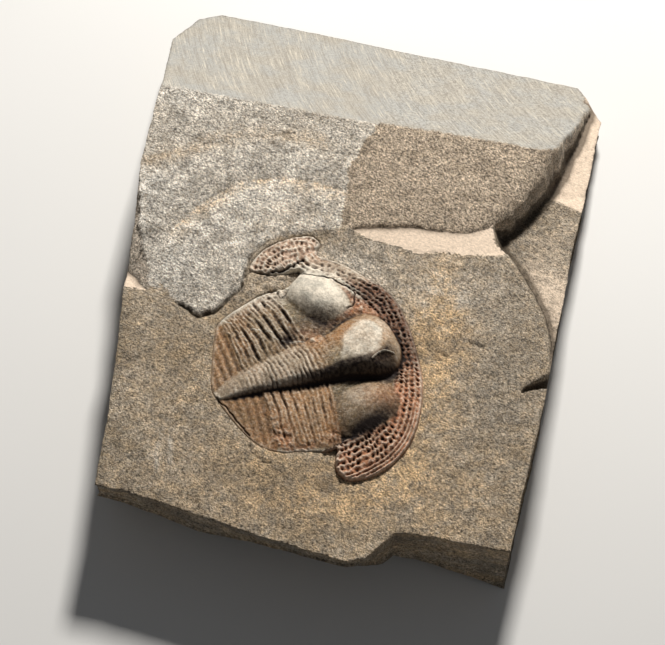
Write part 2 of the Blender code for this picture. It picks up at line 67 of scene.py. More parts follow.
# Slab: levels and slopes of its faces
FOSSIL_BED = 15.0
UPPER_BED = 15.6
UPPER_BED_RISE = 0.018
GROOVE_SLOPE = 0.08
LEDGE_START_X, LEDGE_START_Y = 15.0, -14.0
LEDGE_SLOPE = 0.22
FOSSIL_BED_RISER = 3.0
UPPER_BED_RISER = 7.0
SAW_TOP = 16.0
SAW_NEAR_Y = 22.2
SAW_SLOPE = 0.705
SAW_SKEW = 0.045
SPALL_SLOPE = 1.5
NOTCH_SLOPE = 0.75
CHIP_SLOPE = 0.42
CHIP_Y = -9.9

# Slab: outline of the fossil face, anticlockwise from the lower left corner
SLAB_OUTLINE = [
    (-29.2, -40.5), (-24.9, -40.8), (-15.4, -42.3), (-8.1, -43.8), (-0.9, -44.8), (6.9, -46.0),
    (9.5, -45.0), (11.8, -42.0), (13.0, -40.7), (16.5, -40.4), (22.1, -40.7), (29.1, -40.9),
    (30.0, -26.9), (30.8, -17.5), (31.3, -2.6), (31.9, 11.6), (32.5, 19.2), (33.3, 34.2),
    (31.7, 36.7), (29.0, 41.1), (17.0, 42.2), (1.1, 43.6), (-15.0, 45.2), (-27.6, 46.0),
    (-30.7, 43.7), (-33.3, 36.5), (-32.0, 24.0), (-32.5, 9.7), (-32.2, 5.1), (-31.7, 0.9),
    (-31.4, -5.6), (-31.2, -10.0), (-30.4, -18.2), (-29.6, -27.7),
]
LOWER_EDGE_POINTS = 12

# Slab: edges of the broken beds, seen from above
UPPER_BED_EDGE = [
    (30.2, 35.7), (28.6, 28.0), (27.2, 22.0), (26.0, 18.0), (24.4, 14.2), (22.0, 10.4),
    (19.4, 8.0), (16.6, 6.9), (12.3, 6.7), (6.4, 6.7), (1.5, 5.4), (-1.4, 4.8), (-5.5, 3.4),
    (-9.0, 2.4), (-12.2, 0.6), (-14.2, -2.0), (-14.6, -5.0), (-14.9, -7.6), (-16.5, -9.5),
    (-17.8, -11.4), (-19.0, -11.9), (-20.0, -12.2), (-21.3, -11.4), (-23.0, -10.8), (-24.6, -9.9),
    (-26.3, -9.75), (-31.2, -9.6),
]
FOSSIL_BED_CREST = [
    (-1.9, 4.7), (1.1, 4.0), (3.5, 3.4), (5.6, 3.1), (10.0, 2.6), (13.3, 3.3), (19.1, 3.5), (22.4, 4.1),
]
FOSSIL_BED_EDGE = [
    (19.0, 12.0), (19.8, 8.4), (20.5, 6.4), (21.4, 5.3), (22.4, 4.2), (24.5, 1.9), (26.6, -1.0),
    (28.7, -4.1), (29.6, -6.2), (30.2, -8.5), (30.9, -14.4),
]
NOTCH_EDGE = [
    (-33.0, 10.2), (-31.8, 4.9), (-30.9, 0.9), (-29.7, -3.6), (-28.2, -6.2), (-26.4, -9.7),
]
COARSE_EDGE = [(1.4, 23.5), (-1.2, 17.4), (-2.2, 14.2), (-1.9, 9.8), (-1.8, 4.0)]
BITE = [(27.6, -16.7), (28.5, -15.9), (31.4, -14.3)]
BITE_DEPTH = 1.7
ARC_NEAR = [
    (-26.1, -0.3), (-25.2, 1.3), (-22.2, 5.1), (-17.3, 9.4), (-10.6, 11.0), (-6.1, 10.9), (-2.1, 10.1),
]
ARC_FAR = [(-31.7, 10.1), (-27.9, 12.2), (-23.0, 14.9), (-16.3, 17.3), (-11.8, 18.1), (-7.0, 17.4)]
PALE_MARKS = [
    [(-21.2, -36.7), (-21.7, -34.8), (-21.7, -33.0)], [(-19.6, -35.7), (-19.7, -33.9), (-20.1, -32.1)],
]
SHORT_CRACKS = [
    [(-15.2, -6.6), (-14.5, -5.6), (-13.7, -4.6)], [(-15.4, -7.6), (-16.5, -9.6)],
    [(19.0, -10.3), (20.0, -10.5), (21.2, -10.8)], [(14.8, -12.4), (16.3, -13.0)],
    [(-9.0, -31.0), (-8.5, -31.9), (-7.0, -33.2), (-5.6, -33.3)],
]
FLAKE = [(-8.6, -31.7), (-7.0, -31.2), (-5.2, -32.4), (-5.5, -33.3), (-7.1, -33.1)]
SPALL_X = [-29.0, -15.0, -7.0, 7.0, 9.5, 11.7, 17.0, 20.0, 29.0]
SPALL_HEIGHT = [11.0, 8.3, 11.5, 13.0, 12.0, 6.0, 5.0, 4.0, 0.0]
LIP_X = [-2.0, 2.0, 12.0, 17.0, 21.0]
LIP_RADIUS = [0.1, 0.18, 0.3, 0.9, 2.2]

# Slab: soft patches as (strength, middle, radius, stretch, turn)
SCARS = [(1.0, (-9.5, -34.2), 3.0, 1.8, -0.4), (1.0, (16.5, -24.0), 3.5, 2.0, -0.2)]
IRON_STAINS = [
    (0.95, (14.2, -7.0), 4.8, 1.9, 1.7), (1.1, (13.5, -18.0), 4.5, 2.4, 1.5),
    (0.95, (3.0, -34.0), 7.0, 2.2, 0.2), (0.5, (-17.5, -20.0), 4.0, 2.0, 1.3),
    (0.35, (10.0, -38.0), 9.0, 2.0),
]
LIGHT_PATCHES = [(0.45, (0.0, -1.0), 4.5, 1.5, 0.3), (0.42, (14.5, -3.5), 6.0, 1.6, 0.2)]
SOOTY_PATCHES = [
    (0.55, (4.2, 0.6), 1.2, 2.6, 1.5), (0.8, (14.0, -12.0), 2.6, 1.6), (0.7, (-11.0, -32.5), 3.0, 1.8),
    (0.8, (0.5, -36.5), 4.0, 1.8, 0.6),
]
GREY_PATCHES = [(0.35, (13.0, 1.0), 4.0, 2.4, 0.1), (0.5, (22.0, -16.0), 5.0, 2.2, 1.4)]

# Grids of points, the ends of the sawn edge, and the cells across which a hollow is measured
SLAB_LOW, SLAB_HIGH = (-34.5, -47.5), (34.5, 47.5)
SAW_EDGE_X = (-32.0, 26.4)
UNDERSIDE_LOW, UNDERSIDE_HIGH = (-31.0, -46.0), (31.0, -30.0)
UNDERSIDE_SPACING = 1.2
HOLLOW_REACH = 4

# Fossil: where it lies, and its margin in (u, v)
FOSSIL_CENTRE = (-4.7, -18.9)
HEADING = math.radians(26.0)
ACROSS = math.radians(121.3)
FOSSIL_MARGIN = [
    (-0.25, 17.0), (1.4, 18.9), (3.9, 20.0), (7.0, 20.3), (9.8, 19.8), (10.8, 18.25), (9.7, 16.7),
    (11.8, 15.0), (13.4, 13.4), (15.5, 10.4), (16.8, 8.6), (17.6, 5.8), (17.7, 2.35),
    (17.3, -1.7), (16.25, -6.45), (14.3, -10.8), (11.4, -14.85), (7.9, -17.4), (4.05, -18.6),
    (1.0, -18.3), (-0.2, -16.8), (0.1, -15.0), (1.0, -13.3), (-0.7, -13.1), (-3.9, -12.1),
    (-6.2, -11.6), (-8.6, -10.0), (-10.1, -7.4), (-11.3, -3.8), (-11.9, -1.1), (-12.0, 0.6),
    (-10.9, 3.6), (-8.9, 8.0), (-7.1, 10.5), (-2.3, 12.3), (0.6, 12.9), (3.9, 12.8),
    (6.3, 14.7), (2.75, 15.2),
]
FRINGE_EDGE_POINTS = 19
FRINGE_END = [(0.5, -19.0), (-3.0, -18.6)]
FRINGE_INNER = [
    (5.4, 15.5), (8.3, 15.0), (10.7, 13.2), (12.7, 9.9), (13.8, 7.6), (15.4, 4.3), (15.9, 0.3),
    (14.6, -4.0), (12.9, -7.4), (11.5, -9.6), (8.3, -12.0), (4.2, -13.6), (1.2, -13.2),
]
HEAD_BACK_U = 3.0
POCKET_FLOOR = 12.2
POCKET_GAP = 0.06

# Fossil: midline ridge, its middle, half width and height against u
RIDGE_U = [-12.4, -10.0, -8.0, -5.6, -1.4, 2.0, 4.6, 6.6, 8.8, 11.0, 12.7, 14.0, 14.9, 15.5]
RIDGE_MIDDLE = [-0.7, -0.2, 0.1, 0.2, 0.3, 0.3, 0.3, 0.3, 0.4, 0.4, 0.4, 0.4, 0.3, 0.3]
RIDGE_HALF_WIDTH = [0.5, 1.7, 2.4, 2.9, 3.6, 4.0, 4.1, 4.3, 5.1, 5.6, 5.4, 4.5, 3.0, 0.9]
RIDGE_LEAN = 0.42
RIDGE_HEIGHT = [0.3, 1.1, 1.8, 2.4, 3.1, 3.4, 3.5, 3.9, 4.5, 4.6, 4.2, 3.2, 1.9, 0.5]
KNOB = (4.3, 3.4)
KNOB_HEIGHT = 0.7
HOLE = (0.6, 4.4)

# Fossil: cheek lobes as (u, v, half length, half width, turn from u, height, seed)
CHEEKS = [
    (7.4, 9.5, 5.4, 3.9, math.radians(-58.0), 3.1, 480),
    (6.9, -8.7, 5.9, 4.3, math.radians(14.0), 3.0, 490),
]

# Fossil: ribs of the thorax, where they start and end at the midline and how far back they sweep
RIBS = 7
RIBS_START, RIBS_END = -7.0, 2.6
RIB_PITCH = (RIBS_END - RIBS_START) / RIBS
LOWER_RIBS_START, LOWER_RIBS_END = -5.8, 3.3
SWEEP_PLACES = [-7.0, -3.0, 3.0]
UPPER_SWEEP = [0.1, 2.0, 1.9]
LOWER_SWEEP = [1.2, 0.8, 1.9]
RING_PITCH = RIB_PITCH / 2
TAIL_PITCH = 1.15

# Fossil: rows of pits along the outer edge of the fringe, wider spaced from the start of its lower tip
PIT_ROW = 0.9
PIT_PITCH = 0.82
TIP_START = 46.14316
TIP_PIT_SHARE = -0.28
RIM_RIDGE_PITCH = 0.52

# Fossil: cracks and pale scratches in (u, v)
CRACKS = [
    [(5.0, 14.9), (6.5, 13.7), (8.5, 12.6), (10.1, 12.0), (11.8, 9.8), (12.3, 8.5), (11.6, 7.4),
     (10.3, 6.6)],
    [(-0.4, 16.8), (1.6, 15.8), (3.5, 15.35), (6.2, 15.6), (7.4, 16.1)],
    [(-11.8, -0.9), (-11.1, -3.3), (-10.1, -6.6), (-9.6, -7.8)],
]
CRACK_WIDTHS = [0.09, 0.2, 0.08]
SCRATCHES = [
    [(-7.0, 10.8), (-5.8, 9.5)],
    [(-3.6, 7.6), (-2.5, 6.9), (-1.0, 6.1)],
    [(-1.2, 5.3), (-0.6, 4.8), (0.9, 3.9), (2.6, 3.4)],
]
WORN_PATCH = [
    (6.3, -1.6), (9.0, -2.5), (11.2, -2.2), (12.4, -0.8), (13.2, 1.4), (12.7, 3.0), (11.2, 3.9), (9.4, 3.0),
    (7.8, 1.6), (7.0, 0.2),
]
FLAKE_LINE = [(10.2, -3.0), (11.2, -2.5), (12.4, -2.3), (13.6, -2.6)]

# Fossil: soft patches as (strength, middle in (u, v), radius, stretch, turn)
BROKEN_PLACES = [
    (1.0, (-5.4, -9.4), 1.3, 2.2, math.radians(-80.0)), (1.0, (0.2, 12.4), 1.3, 2.6, 0.3),
    (0.8, (1.6, -11.8), 1.2, 1.3), (0.8, (-2.6, -11.9), 0.6, 3.0), (0.5, (3.6, 4.6), 1.2, 1.8, 0.2),
]
TAN_ON_RIDGE = [(0.8, (7.0, 2.8), 2.3, 1.7), (0.6, (13.4, 1.5), 1.8)]
TAN_ON_CHEEKS = [(0.8, (8.6, -8.0), 2.4), (0.3, (4.8, 10.8), 2.2)]
WORN_ON_CHEEKS = [(1.3, (7.2, 10.8), 3.3, 1.4, -0.9), (0.25, (6.5, -6.8), 2.4)]
# The first dark place is painted shade on the lower cheek's lower flank; the second darkens the hole.
DARK_PLACES = [(0.85, (5.0, -12.1), 1.3, 2.8, 0.25), (0.8, HOLE, 0.9, 1.5, 0.3)]

# Finishes: the mineral grain, how much and how deep the saw marks change, and the shell's fine net
GRAIN_CONTRAST = 10.4
DARKEST_GRAIN = 0.22
STREAK_ANGLE = math.radians(24.0)
SAW_MARK_CHANGE = 5.0 * MM
SAW_MARK_DEPTH = 0.05 * MM
NET_CELLS = 3.2

# Stage: where the lights stand, in metres, and their colours
KEY_PLACE, KEY_SIZE, KEY_COLOUR = (0.012, 0.229, 0.271), 0.05, (1.0, 0.98, 0.95)
FILL_PLACE, FILL_SIZE, FILL_COLOUR = (0.5, -0.35, 0.45), 0.5, (0.93, 0.96, 1.0)
SKY_COLOUR = (0.92, 0.95, 1.0, 1.0)
SENSOR_WIDTH = 36.0


# Soft steps

def unit(value):
    """A value kept from 0 to 1."""
    return np.clip(value, 0.0, 1.0)


def smoothstep(value, low, high):
    """A soft step from 0 at low to 1 at high."""
    t = unit((value - low) / (high - low))
    return t * t * (3.0 - 2.0 * t)


def band(value, low, full, fading, high):
    """A soft band: 0 to low, 1 from full to fading, and 0 again from high."""
    return smoothstep(value, low, full) * (1.0 - smoothstep(value, fading, high))


def bell(distance, width):
    """1 at no distance, and softly down to nothing past a width."""
    return np.exp(-(distance / width)**2)


# Random relief

def lattice_noise(x, y, size, seed):
    """Smooth random values from -1 to 1 on square cells of one size, another pattern for each seed."""
    cells = 256
    table = np.random.default_rng(seed).uniform(-1.0, 1.0, (cells, cells))
    gx, gy = np.asarray(x) / size, np.asarray(y) / size
    ix, iy = np.floor(gx).astype(int), np.floor(gy).astype(int)
    fx, fy = gx - ix, gy - iy
    fx, fy = fx * fx * fx * (fx * (fx * 6 - 15) + 10), fy * fy * fy * (fy * (fy * 6 - 15) + 10)
    x0, x1, y0, y1 = ix % cells, (ix + 1) % cells, iy % cells, (iy + 1) % cells
    low = table[x0, y0] * (1 - fx) + table[x1, y0] * fx
    high = table[x0, y1] * (1 - fx) + table[x1, y1] * fx
    return low * (1 - fy) + high * fy


def fractal(x, y, size, octaves, seed, gain=0.5):
    """Layers of lattice noise, each finer and weaker, turned so that their cells don't line up."""
    total, weight, norm = 0.0, 1.0, 0.0
    for octave in range(octaves):
        turn = 0.7 + 1.3 * octave
        rx, ry = x * math.cos(turn) - y * math.sin(turn), x * math.sin(turn) + y * math.cos(turn)
        total = total + weight * lattice_noise(rx + 3.7 * octave, ry, size / 2**octave, seed + octave)
        norm += weight
        weight *= gain
    return total / norm


# Plan geometry

def resample(line, step, closed):
    """Points about one step apart along a line, with every corner kept."""
    ends = list(line) + ([line[0]] if closed else [])
    points = []
    for start, end in zip(ends[:-1], ends[1:]):
        count = max(1, round(math.dist(start, end) / step))
        for index in range(count):
            part = index / count
            points.append((start[0] + part * (end[0] - start[0]), start[1] + part * (end[1] - start[1])))
    if not closed:
        points.append(tuple(ends[-1]))
    return np.array(points)


def rounded(line, step, closed):
    """A smooth curve through the points of a line, in even steps."""
    knots = [Vector(point) for point in line]
    count = len(knots)
    curve = []
    for index in range(count if closed else count - 1):
        if closed:
            a, b, c, d = (knots[(index + shift) % count] for shift in (-1, 0, 1, 2))
        else:
            a, b = knots[max(index - 1, 0)], knots[index]
            c, d = knots[index + 1], knots[min(index + 2, count - 1)]
        pieces = max(1, round((c - b).length / step))
        for piece in range(pieces):
            t = piece / pieces
            curve.append(tuple(
                b + 0.5 * t * ((c - a) + t * (2 * a - 5 * b + 4 * c - d + t * (3 * b - a - 3 * c + d)))
            ))
    if not closed:
        curve.append(tuple(knots[-1]))
    return np.array(curve)


def outward_of(line, closed):
    """Unit vectors to the right of a line, which is outwards on an anticlockwise ring."""
    if closed:
        tangent = np.roll(line, -1, axis=0) - np.roll(line, 1, axis=0)
    else:
        tangent = np.gradient(line, axis=0)
    tangent /= np.linalg.norm(tangent, axis=1)[:, None]
    return np.column_stack((tangent[:, 1], -tangent[:, 0]))


def jagged(line, step, amount, size, seed, closed=False):
    """A line broken up by sideways steps, as along the edge of a broken bed."""
    points = resample(line, step, closed)
    x, y = points.T
    shift = amount * (fractal(x, y, size, 3, seed) + 0.3 * lattice_noise(x, y, 0.5, seed + 9))
    if not closed:
        ends = np.minimum(np.arange(len(points)), np.arange(len(points))[::-1])
        shift = shift * unit(ends / 3.0)
    return points + outward_of(points, closed) * shift[:, None]


def distance_along(x, y, line):
    """Distance from each point to an open line, and how far along the line its nearest place is."""
    nearest = np.full(np.shape(x), np.inf)
    along = np.zeros(np.shape(x))
    travelled = 0.0
    for (ax, ay), (bx, by) in zip(line[:-1], line[1:]):
        length = math.hypot(bx - ax, by - ay)
        if length == 0.0:
            continue
        part = unit(((x - ax) * (bx - ax) + (y - ay) * (by - ay)) / length**2)
        gap = np.hypot(x - ax - part * (bx - ax), y - ay - part * (by - ay))
        closer = gap < nearest
        nearest = np.where(closer, gap, nearest)
        along = np.where(closer, travelled + part * length, along)
        travelled += length
    return nearest, along


def gap_to(x, y, line):
    """Distance from each point to an open line."""
    return distance_along(x, y, line)[0]


def inside(x, y, ring):
    """True where a point is inside a closed ring."""
    result = np.zeros(np.shape(x), dtype=bool)
    for (ax, ay), (bx, by) in zip(ring, np.roll(ring, -1, axis=0)):
        if ay == by:
            continue
        crosses = (ay > y) != (by > y)
        result ^= crosses & (x < ax + (y - ay) * (bx - ax) / (by - ay))
    return result


def closed_line(ring):
    """A ring with its first point again at the end."""
    return np.vstack((ring, ring[:1]))


def clear_of(points, lines, spacing):
    """The points that are at least one spacing from every point of the lines."""
    fixed = np.vstack(lines)
    tree = kdtree.KDTree(len(fixed))
    for index, (px, py) in enumerate(fixed):
        tree.insert((px, py, 0.0), index)
    tree.balance()
    kept = [tree.find((px, py, 0.0))[2] >= spacing for px, py in points]
    return points[np.array(kept)]


def spot(x, y, centre, radius, stretch=1.0, turn=0.0):
    """A soft round or oval patch, 1 in the middle."""
    dx, dy = x - centre[0], y - centre[1]
    along = (dx * math.cos(turn) + dy * math.sin(turn)) / stretch
    across = dy * math.cos(turn) - dx * math.sin(turn)
    return np.exp(-(along**2 + across**2) / radius**2)


def spots(x, y, patches):
    """The sum of soft patches, each a strength and then what a spot takes."""
    return sum(strength * spot(x, y, *shape) for strength, *shape in patches)


def on_curve(value, places, heights):
    """A smooth curve through a short list of heights."""
    slopes = np.gradient(np.array(heights), np.array(places))
    index = np.clip(np.searchsorted(places, value) - 1, 0, len(places) - 2)
    start, span = np.take(places, index), np.diff(places)[index]
    t = unit((value - start) / span)
    low, high = np.take(heights, index), np.take(heights, index + 1)
    slope_low, slope_high = slopes[index] * span, slopes[index + 1] * span
    return (low * (1 + 2 * t) * (1 - t)**2 + high * t**2 * (3 - 2 * t)
            + slope_low * t * (1 - t)**2 - slope_high * t**2 * (1 - t))


def to_plan(points):
    """Fossil (u, v) to slab (x, y)."""
    u, v = np.asarray(points, dtype=float).T
    x = FOSSIL_CENTRE[0] + u * math.cos(HEADING) + v * math.cos(ACROSS)
    y = FOSSIL_CENTRE[1] + u * math.sin(HEADING) + v * math.sin(ACROSS)
    return np.column_stack((x, y))


def to_fossil(x, y):
    """Slab (x, y) to fossil (u, v)."""
    turn = math.sin(ACROSS - HEADING)
    dx, dy = x - FOSSIL_CENTRE[0], y - FOSSIL_CENTRE[1]
    u = (dx * math.sin(ACROSS) - dy * math.cos(ACROSS)) / turn
    v = (dy * math.cos(HEADING) - dx * math.sin(HEADING)) / turn
    return u, v


def soften(grid, reach):
    """A regular grid blurred over a number of cells each way."""
    kernel = np.exp(-(np.arange(-2 * reach, 2 * reach + 1) / reach)**2)
    kernel /= kernel.sum()
    for axis in (0, 1):
        pad = [(2 * reach, 2 * reach) if a == axis else (0, 0) for a in (0, 1)]
        wide = np.pad(grid, pad, mode="edge")
        grid = sum(
            share * np.take(wide, np.arange(index, index + grid.shape[axis]), axis=axis)
            for index, share in enumerate(kernel)
        )
    return grid


def sample(grid, low, step, x, y):
    """A regular grid read between its points."""
    gx = np.clip((x - low[0]) / step, 0.0, grid.shape[1] - 1.001)
    gy = np.clip((y - low[1]) / step, 0.0, grid.shape[0] - 1.001)
    ix, iy = gx.astype(int), gy.astype(int)
    fx, fy = gx - ix, gy - iy
    low_row = grid[iy, ix] * (1 - fx) + grid[iy, ix + 1] * fx
    high_row = grid[iy + 1, ix] * (1 - fx) + grid[iy + 1, ix + 1] * fx
    return low_row * (1 - fy) + high_row * fy


# Slab relief

BEYOND, FAR_SIDE = 45.0, 60.0
UPPER_LINE = jagged(UPPER_BED_EDGE, 0.5, 0.38, 3.0, 11)
BROKEN_LINE = jagged(FOSSIL_BED_EDGE, 0.5, 0.22, 2.5, 31)
NOTCH_LINE = jagged(NOTCH_EDGE, 0.5, 0.18, 2.0, 51)
COARSE_LINE = jagged(COARSE_EDGE, 0.5, 0.3, 2.0, 71)
UPPER_AREA = np.vstack((UPPER_LINE, [(-BEYOND, -9.6), (-BEYOND, FAR_SIDE), (31.0, FAR_SIDE)]))
BROKEN_AREA = np.vstack((BROKEN_LINE, [(BEYOND, -14.4), (BEYOND, FAR_SIDE), (20.0, FAR_SIDE)]))
NOTCH_AREA = np.vstack((NOTCH_LINE, [(-BEYOND, -9.7), (-BEYOND, 10.2)]))
COARSE_AREA = np.vstack((COARSE_LINE, [(BEYOND, 4.0), (BEYOND, FAR_SIDE), (1.4, FAR_SIDE)]))


def saw_height(x, y):
    """The plane of the sawn face."""
    return SAW_TOP - SAW_SLOPE * (y - SAW_NEAR_Y + SAW_SKEW * x)


def flaky(x, y, seed):
    """Low scarps where thin sheets of a bed have come off."""
    sheets = fractal(x, y, 9.0, 5, seed, 0.55)
    edges = sum(smoothstep(sheets, level, level + 0.035) for level in (-0.22, -0.05, 0.12, 0.28))
    return 0.09 * edges - 0.18


def upper_bed(x, y, grain, fine, past_edge):
    """Height of the upper bed, its coarse part from 0 to 1, and the radius of its rounded lip."""
    height = UPPER_BED + UPPER_BED_RISE * (y + 5.0) - 0.01 * x + 0.12 * fractal(x, y, 14.0, 3, 70)
    near_gap, far_gap = gap_to(x, y, ARC_NEAR), gap_to(x, y, ARC_FAR)
    height = height + 0.12 * np.minimum(near_gap, 2.2) * np.exp(-near_gap / 7.0)
    height = height + 0.08 * np.minimum(far_gap, 2.0) * np.exp(-far_gap / 6.0)

    coarse = inside(x, y, COARSE_AREA).astype(float)
    coarse_gap = gap_to(x, y, COARSE_LINE)
    drop = (0.26 + 0.02 * np.clip(coarse_gap, 0.0, 8.0)) * smoothstep(coarse_gap, 0.0, 0.4)
    rough = 0.13 * fractal(x, y, 1.3, 3, 90, 0.7) + 0.07 * fine
    even = grain * (0.8 * fine + 1.4 * fractal(x, y, 2.6, 3, 95)) + 0.5 * flaky(x, y, 98)
    height = height + coarse * (rough - drop) + (1.0 - coarse) * even

    gap = np.abs(past_edge)
    thinner = 0.45 * smoothstep(-x, 13.0, 16.0) + 0.3 * smoothstep(-x, 21.5, 26.0)
    height = height - thinner * bell(gap, 3.5) - 0.28 * coarse * bell(gap, 2.2)
    radius = np.interp(x, LIP_X, LIP_RADIUS)
    into_lip = np.clip(past_edge + radius, 0.0, radius * 0.97)
    lip = radius - np.sqrt(radius**2 - into_lip**2)
    fall = UPPER_BED_RISER * np.clip(past_edge + 0.03 * radius, 0.0, None)
    relief = 0.22 * fractal(x, y, 1.6, 3, 110) * smoothstep(past_edge, -0.5, 0.5)
    return height - lip - fall + relief, coarse, radius


def undercut(x, y, past_edge):
    """The dark gap below the torn edge of the upper bed, from 0 to 1."""
    width = 0.14 + (0.26 + 0.2 * fractal(x, y, 1.4, 2, 167)) * spot(x, y, (-19.6, -11.9), 3.0)
    depth = bell(past_edge - width, width) * (past_edge > 0.0) * band(x, -26.0, -22.0, -13.0, -12.0)
    patchy = smoothstep(fractal(x, y, 4.0, 2, 165), -0.5, 0.1)
    return depth * np.maximum(patchy, spot(x, y, (-20.0, -11.9), 4.0))


def fossil_bed(x, y, grain, fine, past_edge):
    """Height of the bed round the fossil, and how far a point is into its groove and past its broken edge."""
    level = FOSSIL_BED + 0.16 * fractal(x, y, 20.0, 3, 120)
    level = level + grain * (fine + 2.2 * fractal(x, y, 3.0, 4, 130)) + flaky(x, y, 135)
    level = level + 0.25 * spots(x, y, SCARS) * fractal(x, y, 2.2, 3, 150)
    level = level + 0.22 * inside(x, y, np.array(FLAKE))
    run_out = band(x, -15.0, -12.5, -2.0, 2.0) * bell(np.clip(past_edge, 0.0, None), 1.7)
    level = level + 0.75 * run_out
    torn = spot(x, y, (-10.6, -5.9), 2.3, 1.4, 0.6)
    level = level + torn * (0.75 + 0.4 * fractal(x, y, 1.3, 3, 155))

    crest_x, crest_y = np.array(FOSSIL_BED_CREST).T
    crest = np.interp(x, crest_x, crest_y) + 0.25 * fractal(x, y, 3.0, 3, 160)
    into_groove = (y - crest) * (x > crest_x[0])
    groove = FOSSIL_BED - 0.1 - GROOVE_SLOPE * into_groove + 0.02 * fine
    height = level + (groove - level) * smoothstep(into_groove, 0.0, 0.35)
    broken = np.where(inside(x, y, BROKEN_AREA), gap_to(x, y, BROKEN_LINE), 0.0)
    height = height - FOSSIL_BED_RISER * broken - 0.7 * undercut(x, y, past_edge)
    return height, into_groove, broken


def slab_surface(x, y, grain):
    """Height of the slab's upper surface, and masks of its faces, each from 0 to 1."""
    fine = lattice_noise(x, y, 0.6, 3) + 0.7 * lattice_noise(1.3 * x + 5.0, y, 0.95, 4)
    gap = gap_to(x, y, UPPER_LINE)
    past_edge = np.where(inside(x, y, UPPER_AREA), -gap, gap)
    upper, coarse, lip_radius = upper_bed(x, y, grain, fine, past_edge)
    bed, into_groove, broken = fossil_bed(x, y, grain, fine, past_edge)
    ledge = FOSSIL_BED - LEDGE_SLOPE * (y - LEDGE_START_Y)
    ledge = ledge + 0.3 * fractal(x, y, 7.0, 3, 170) + grain * fine
    ledge = ledge - 0.5 * band(y, 17.0, 19.5, 19.5, 30.0)
    ledge = np.where((x > LEDGE_START_X) & (y > LEDGE_START_Y), ledge - 1.2 * (broken <= 0.0), 0.0)
    z = np.maximum(np.maximum(upper, bed), ledge)
    on_upper = (upper >= bed) & (upper >= ledge)
    on_ledge = (ledge > upper) & (ledge > bed)
    on_bed = ~on_upper & ~on_ledge

    chip = FOSSIL_BED - CHIP_SLOPE * (y - CHIP_Y) + 0.1 * fractal(x, y, 1.5, 2, 180)
    bevel = UPPER_BED - NOTCH_SLOPE * gap_to(x, y, NOTCH_LINE) + 0.12 * fractal(x, y, 1.8, 3, 190)
    notch = np.maximum(bevel, chip)
    in_notch = inside(x, y, NOTCH_AREA) & (notch < z)
    z = np.where(in_notch, notch, z)
    bite_gap, bite_along = distance_along(x, y, BITE)
    z = z - BITE_DEPTH * smoothstep(-bite_gap, -0.2 - 0.22 * bite_along, -0.05 - 0.12 * bite_along)
    for line in SHORT_CRACKS:
        z = z - 0.4 * bell(gap_to(x, y, jagged(line, 0.3, 0.15, 1.0, 195)), 0.16)

    saw = saw_height(x, y)
    masks = {
        "sawn": smoothstep(z - saw, 0.0, 0.05),
        "upper": on_upper * 1.0,
        "coarse": coarse * on_upper,
        "riser": on_upper * smoothstep(past_edge, -0.3 * lip_radius, 0.4),
        "groove": (on_bed & (into_groove > 0.0) & (broken <= 0.0)) * 1.0,
        "ledge": on_ledge * 1.0,
        "broken": (on_bed & (broken > 0.02)) * 1.0,
        "notch": in_notch * 1.0,
        "chip": (in_notch & (chip > bevel)) * 1.0,
    }
    return np.minimum(z, saw + 0.008 * fine), masks


def slab_underside(x, y):
    """Height of the underside: flat, but for the spall along the lower edge."""
    lower_edge_y = np.interp(x, *np.array(SLAB_OUTLINE[:LOWER_EDGE_POINTS]).T)
    spall = np.interp(x, SPALL_X, SPALL_HEIGHT) - SPALL_SLOPE * (y - lower_edge_y)
    spall = spall + 0.5 * fractal(x, y, 3.0, 3, 200) * smoothstep(spall, 0.0, 2.0)
    return np.clip(spall, 0.0, None)


def side_rings(rim, rows, depth):
    """Rings up the slab's broken sides to its rim, all but the lowest and the highest bitten in."""
    plan, top_z = rim[:, :2], rim[:, 2]
    bottom_z = slab_underside(*plan.T)
    inward = -outward_of(plan, closed=True)
    around = np.concatenate(([0.0], np.cumsum(np.linalg.norm(np.diff(plan, axis=0), axis=1))))
    rings = []
    for row in range(rows + 1):
        part = row / rows
        z = bottom_z + part * (top_z - bottom_z)
        bite = 0.5 + 0.5 * fractal(0.45 * around, z * 2.2, 3.0, 4, 220)
        bite = bite * (0.6 + 0.4 * fractal(around, z * 5.0, 2.0, 3, 230))
        shift = depth * bite * np.sin(math.pi * part)**0.5 + 0.25 * (1.0 - part)
        if row in (0, rows):
            shift = np.zeros(len(rim))
        rings.append(np.column_stack((plan + inward * shift[:, None], z)))
    return rings


def riser_painted_light(x, masks):
    """The right part of the upper bed's riser, which faces away from the key light and is painted lighter, as
    painted light.
    """
    return masks["riser"] * smoothstep(x, 17.5, 20.0)


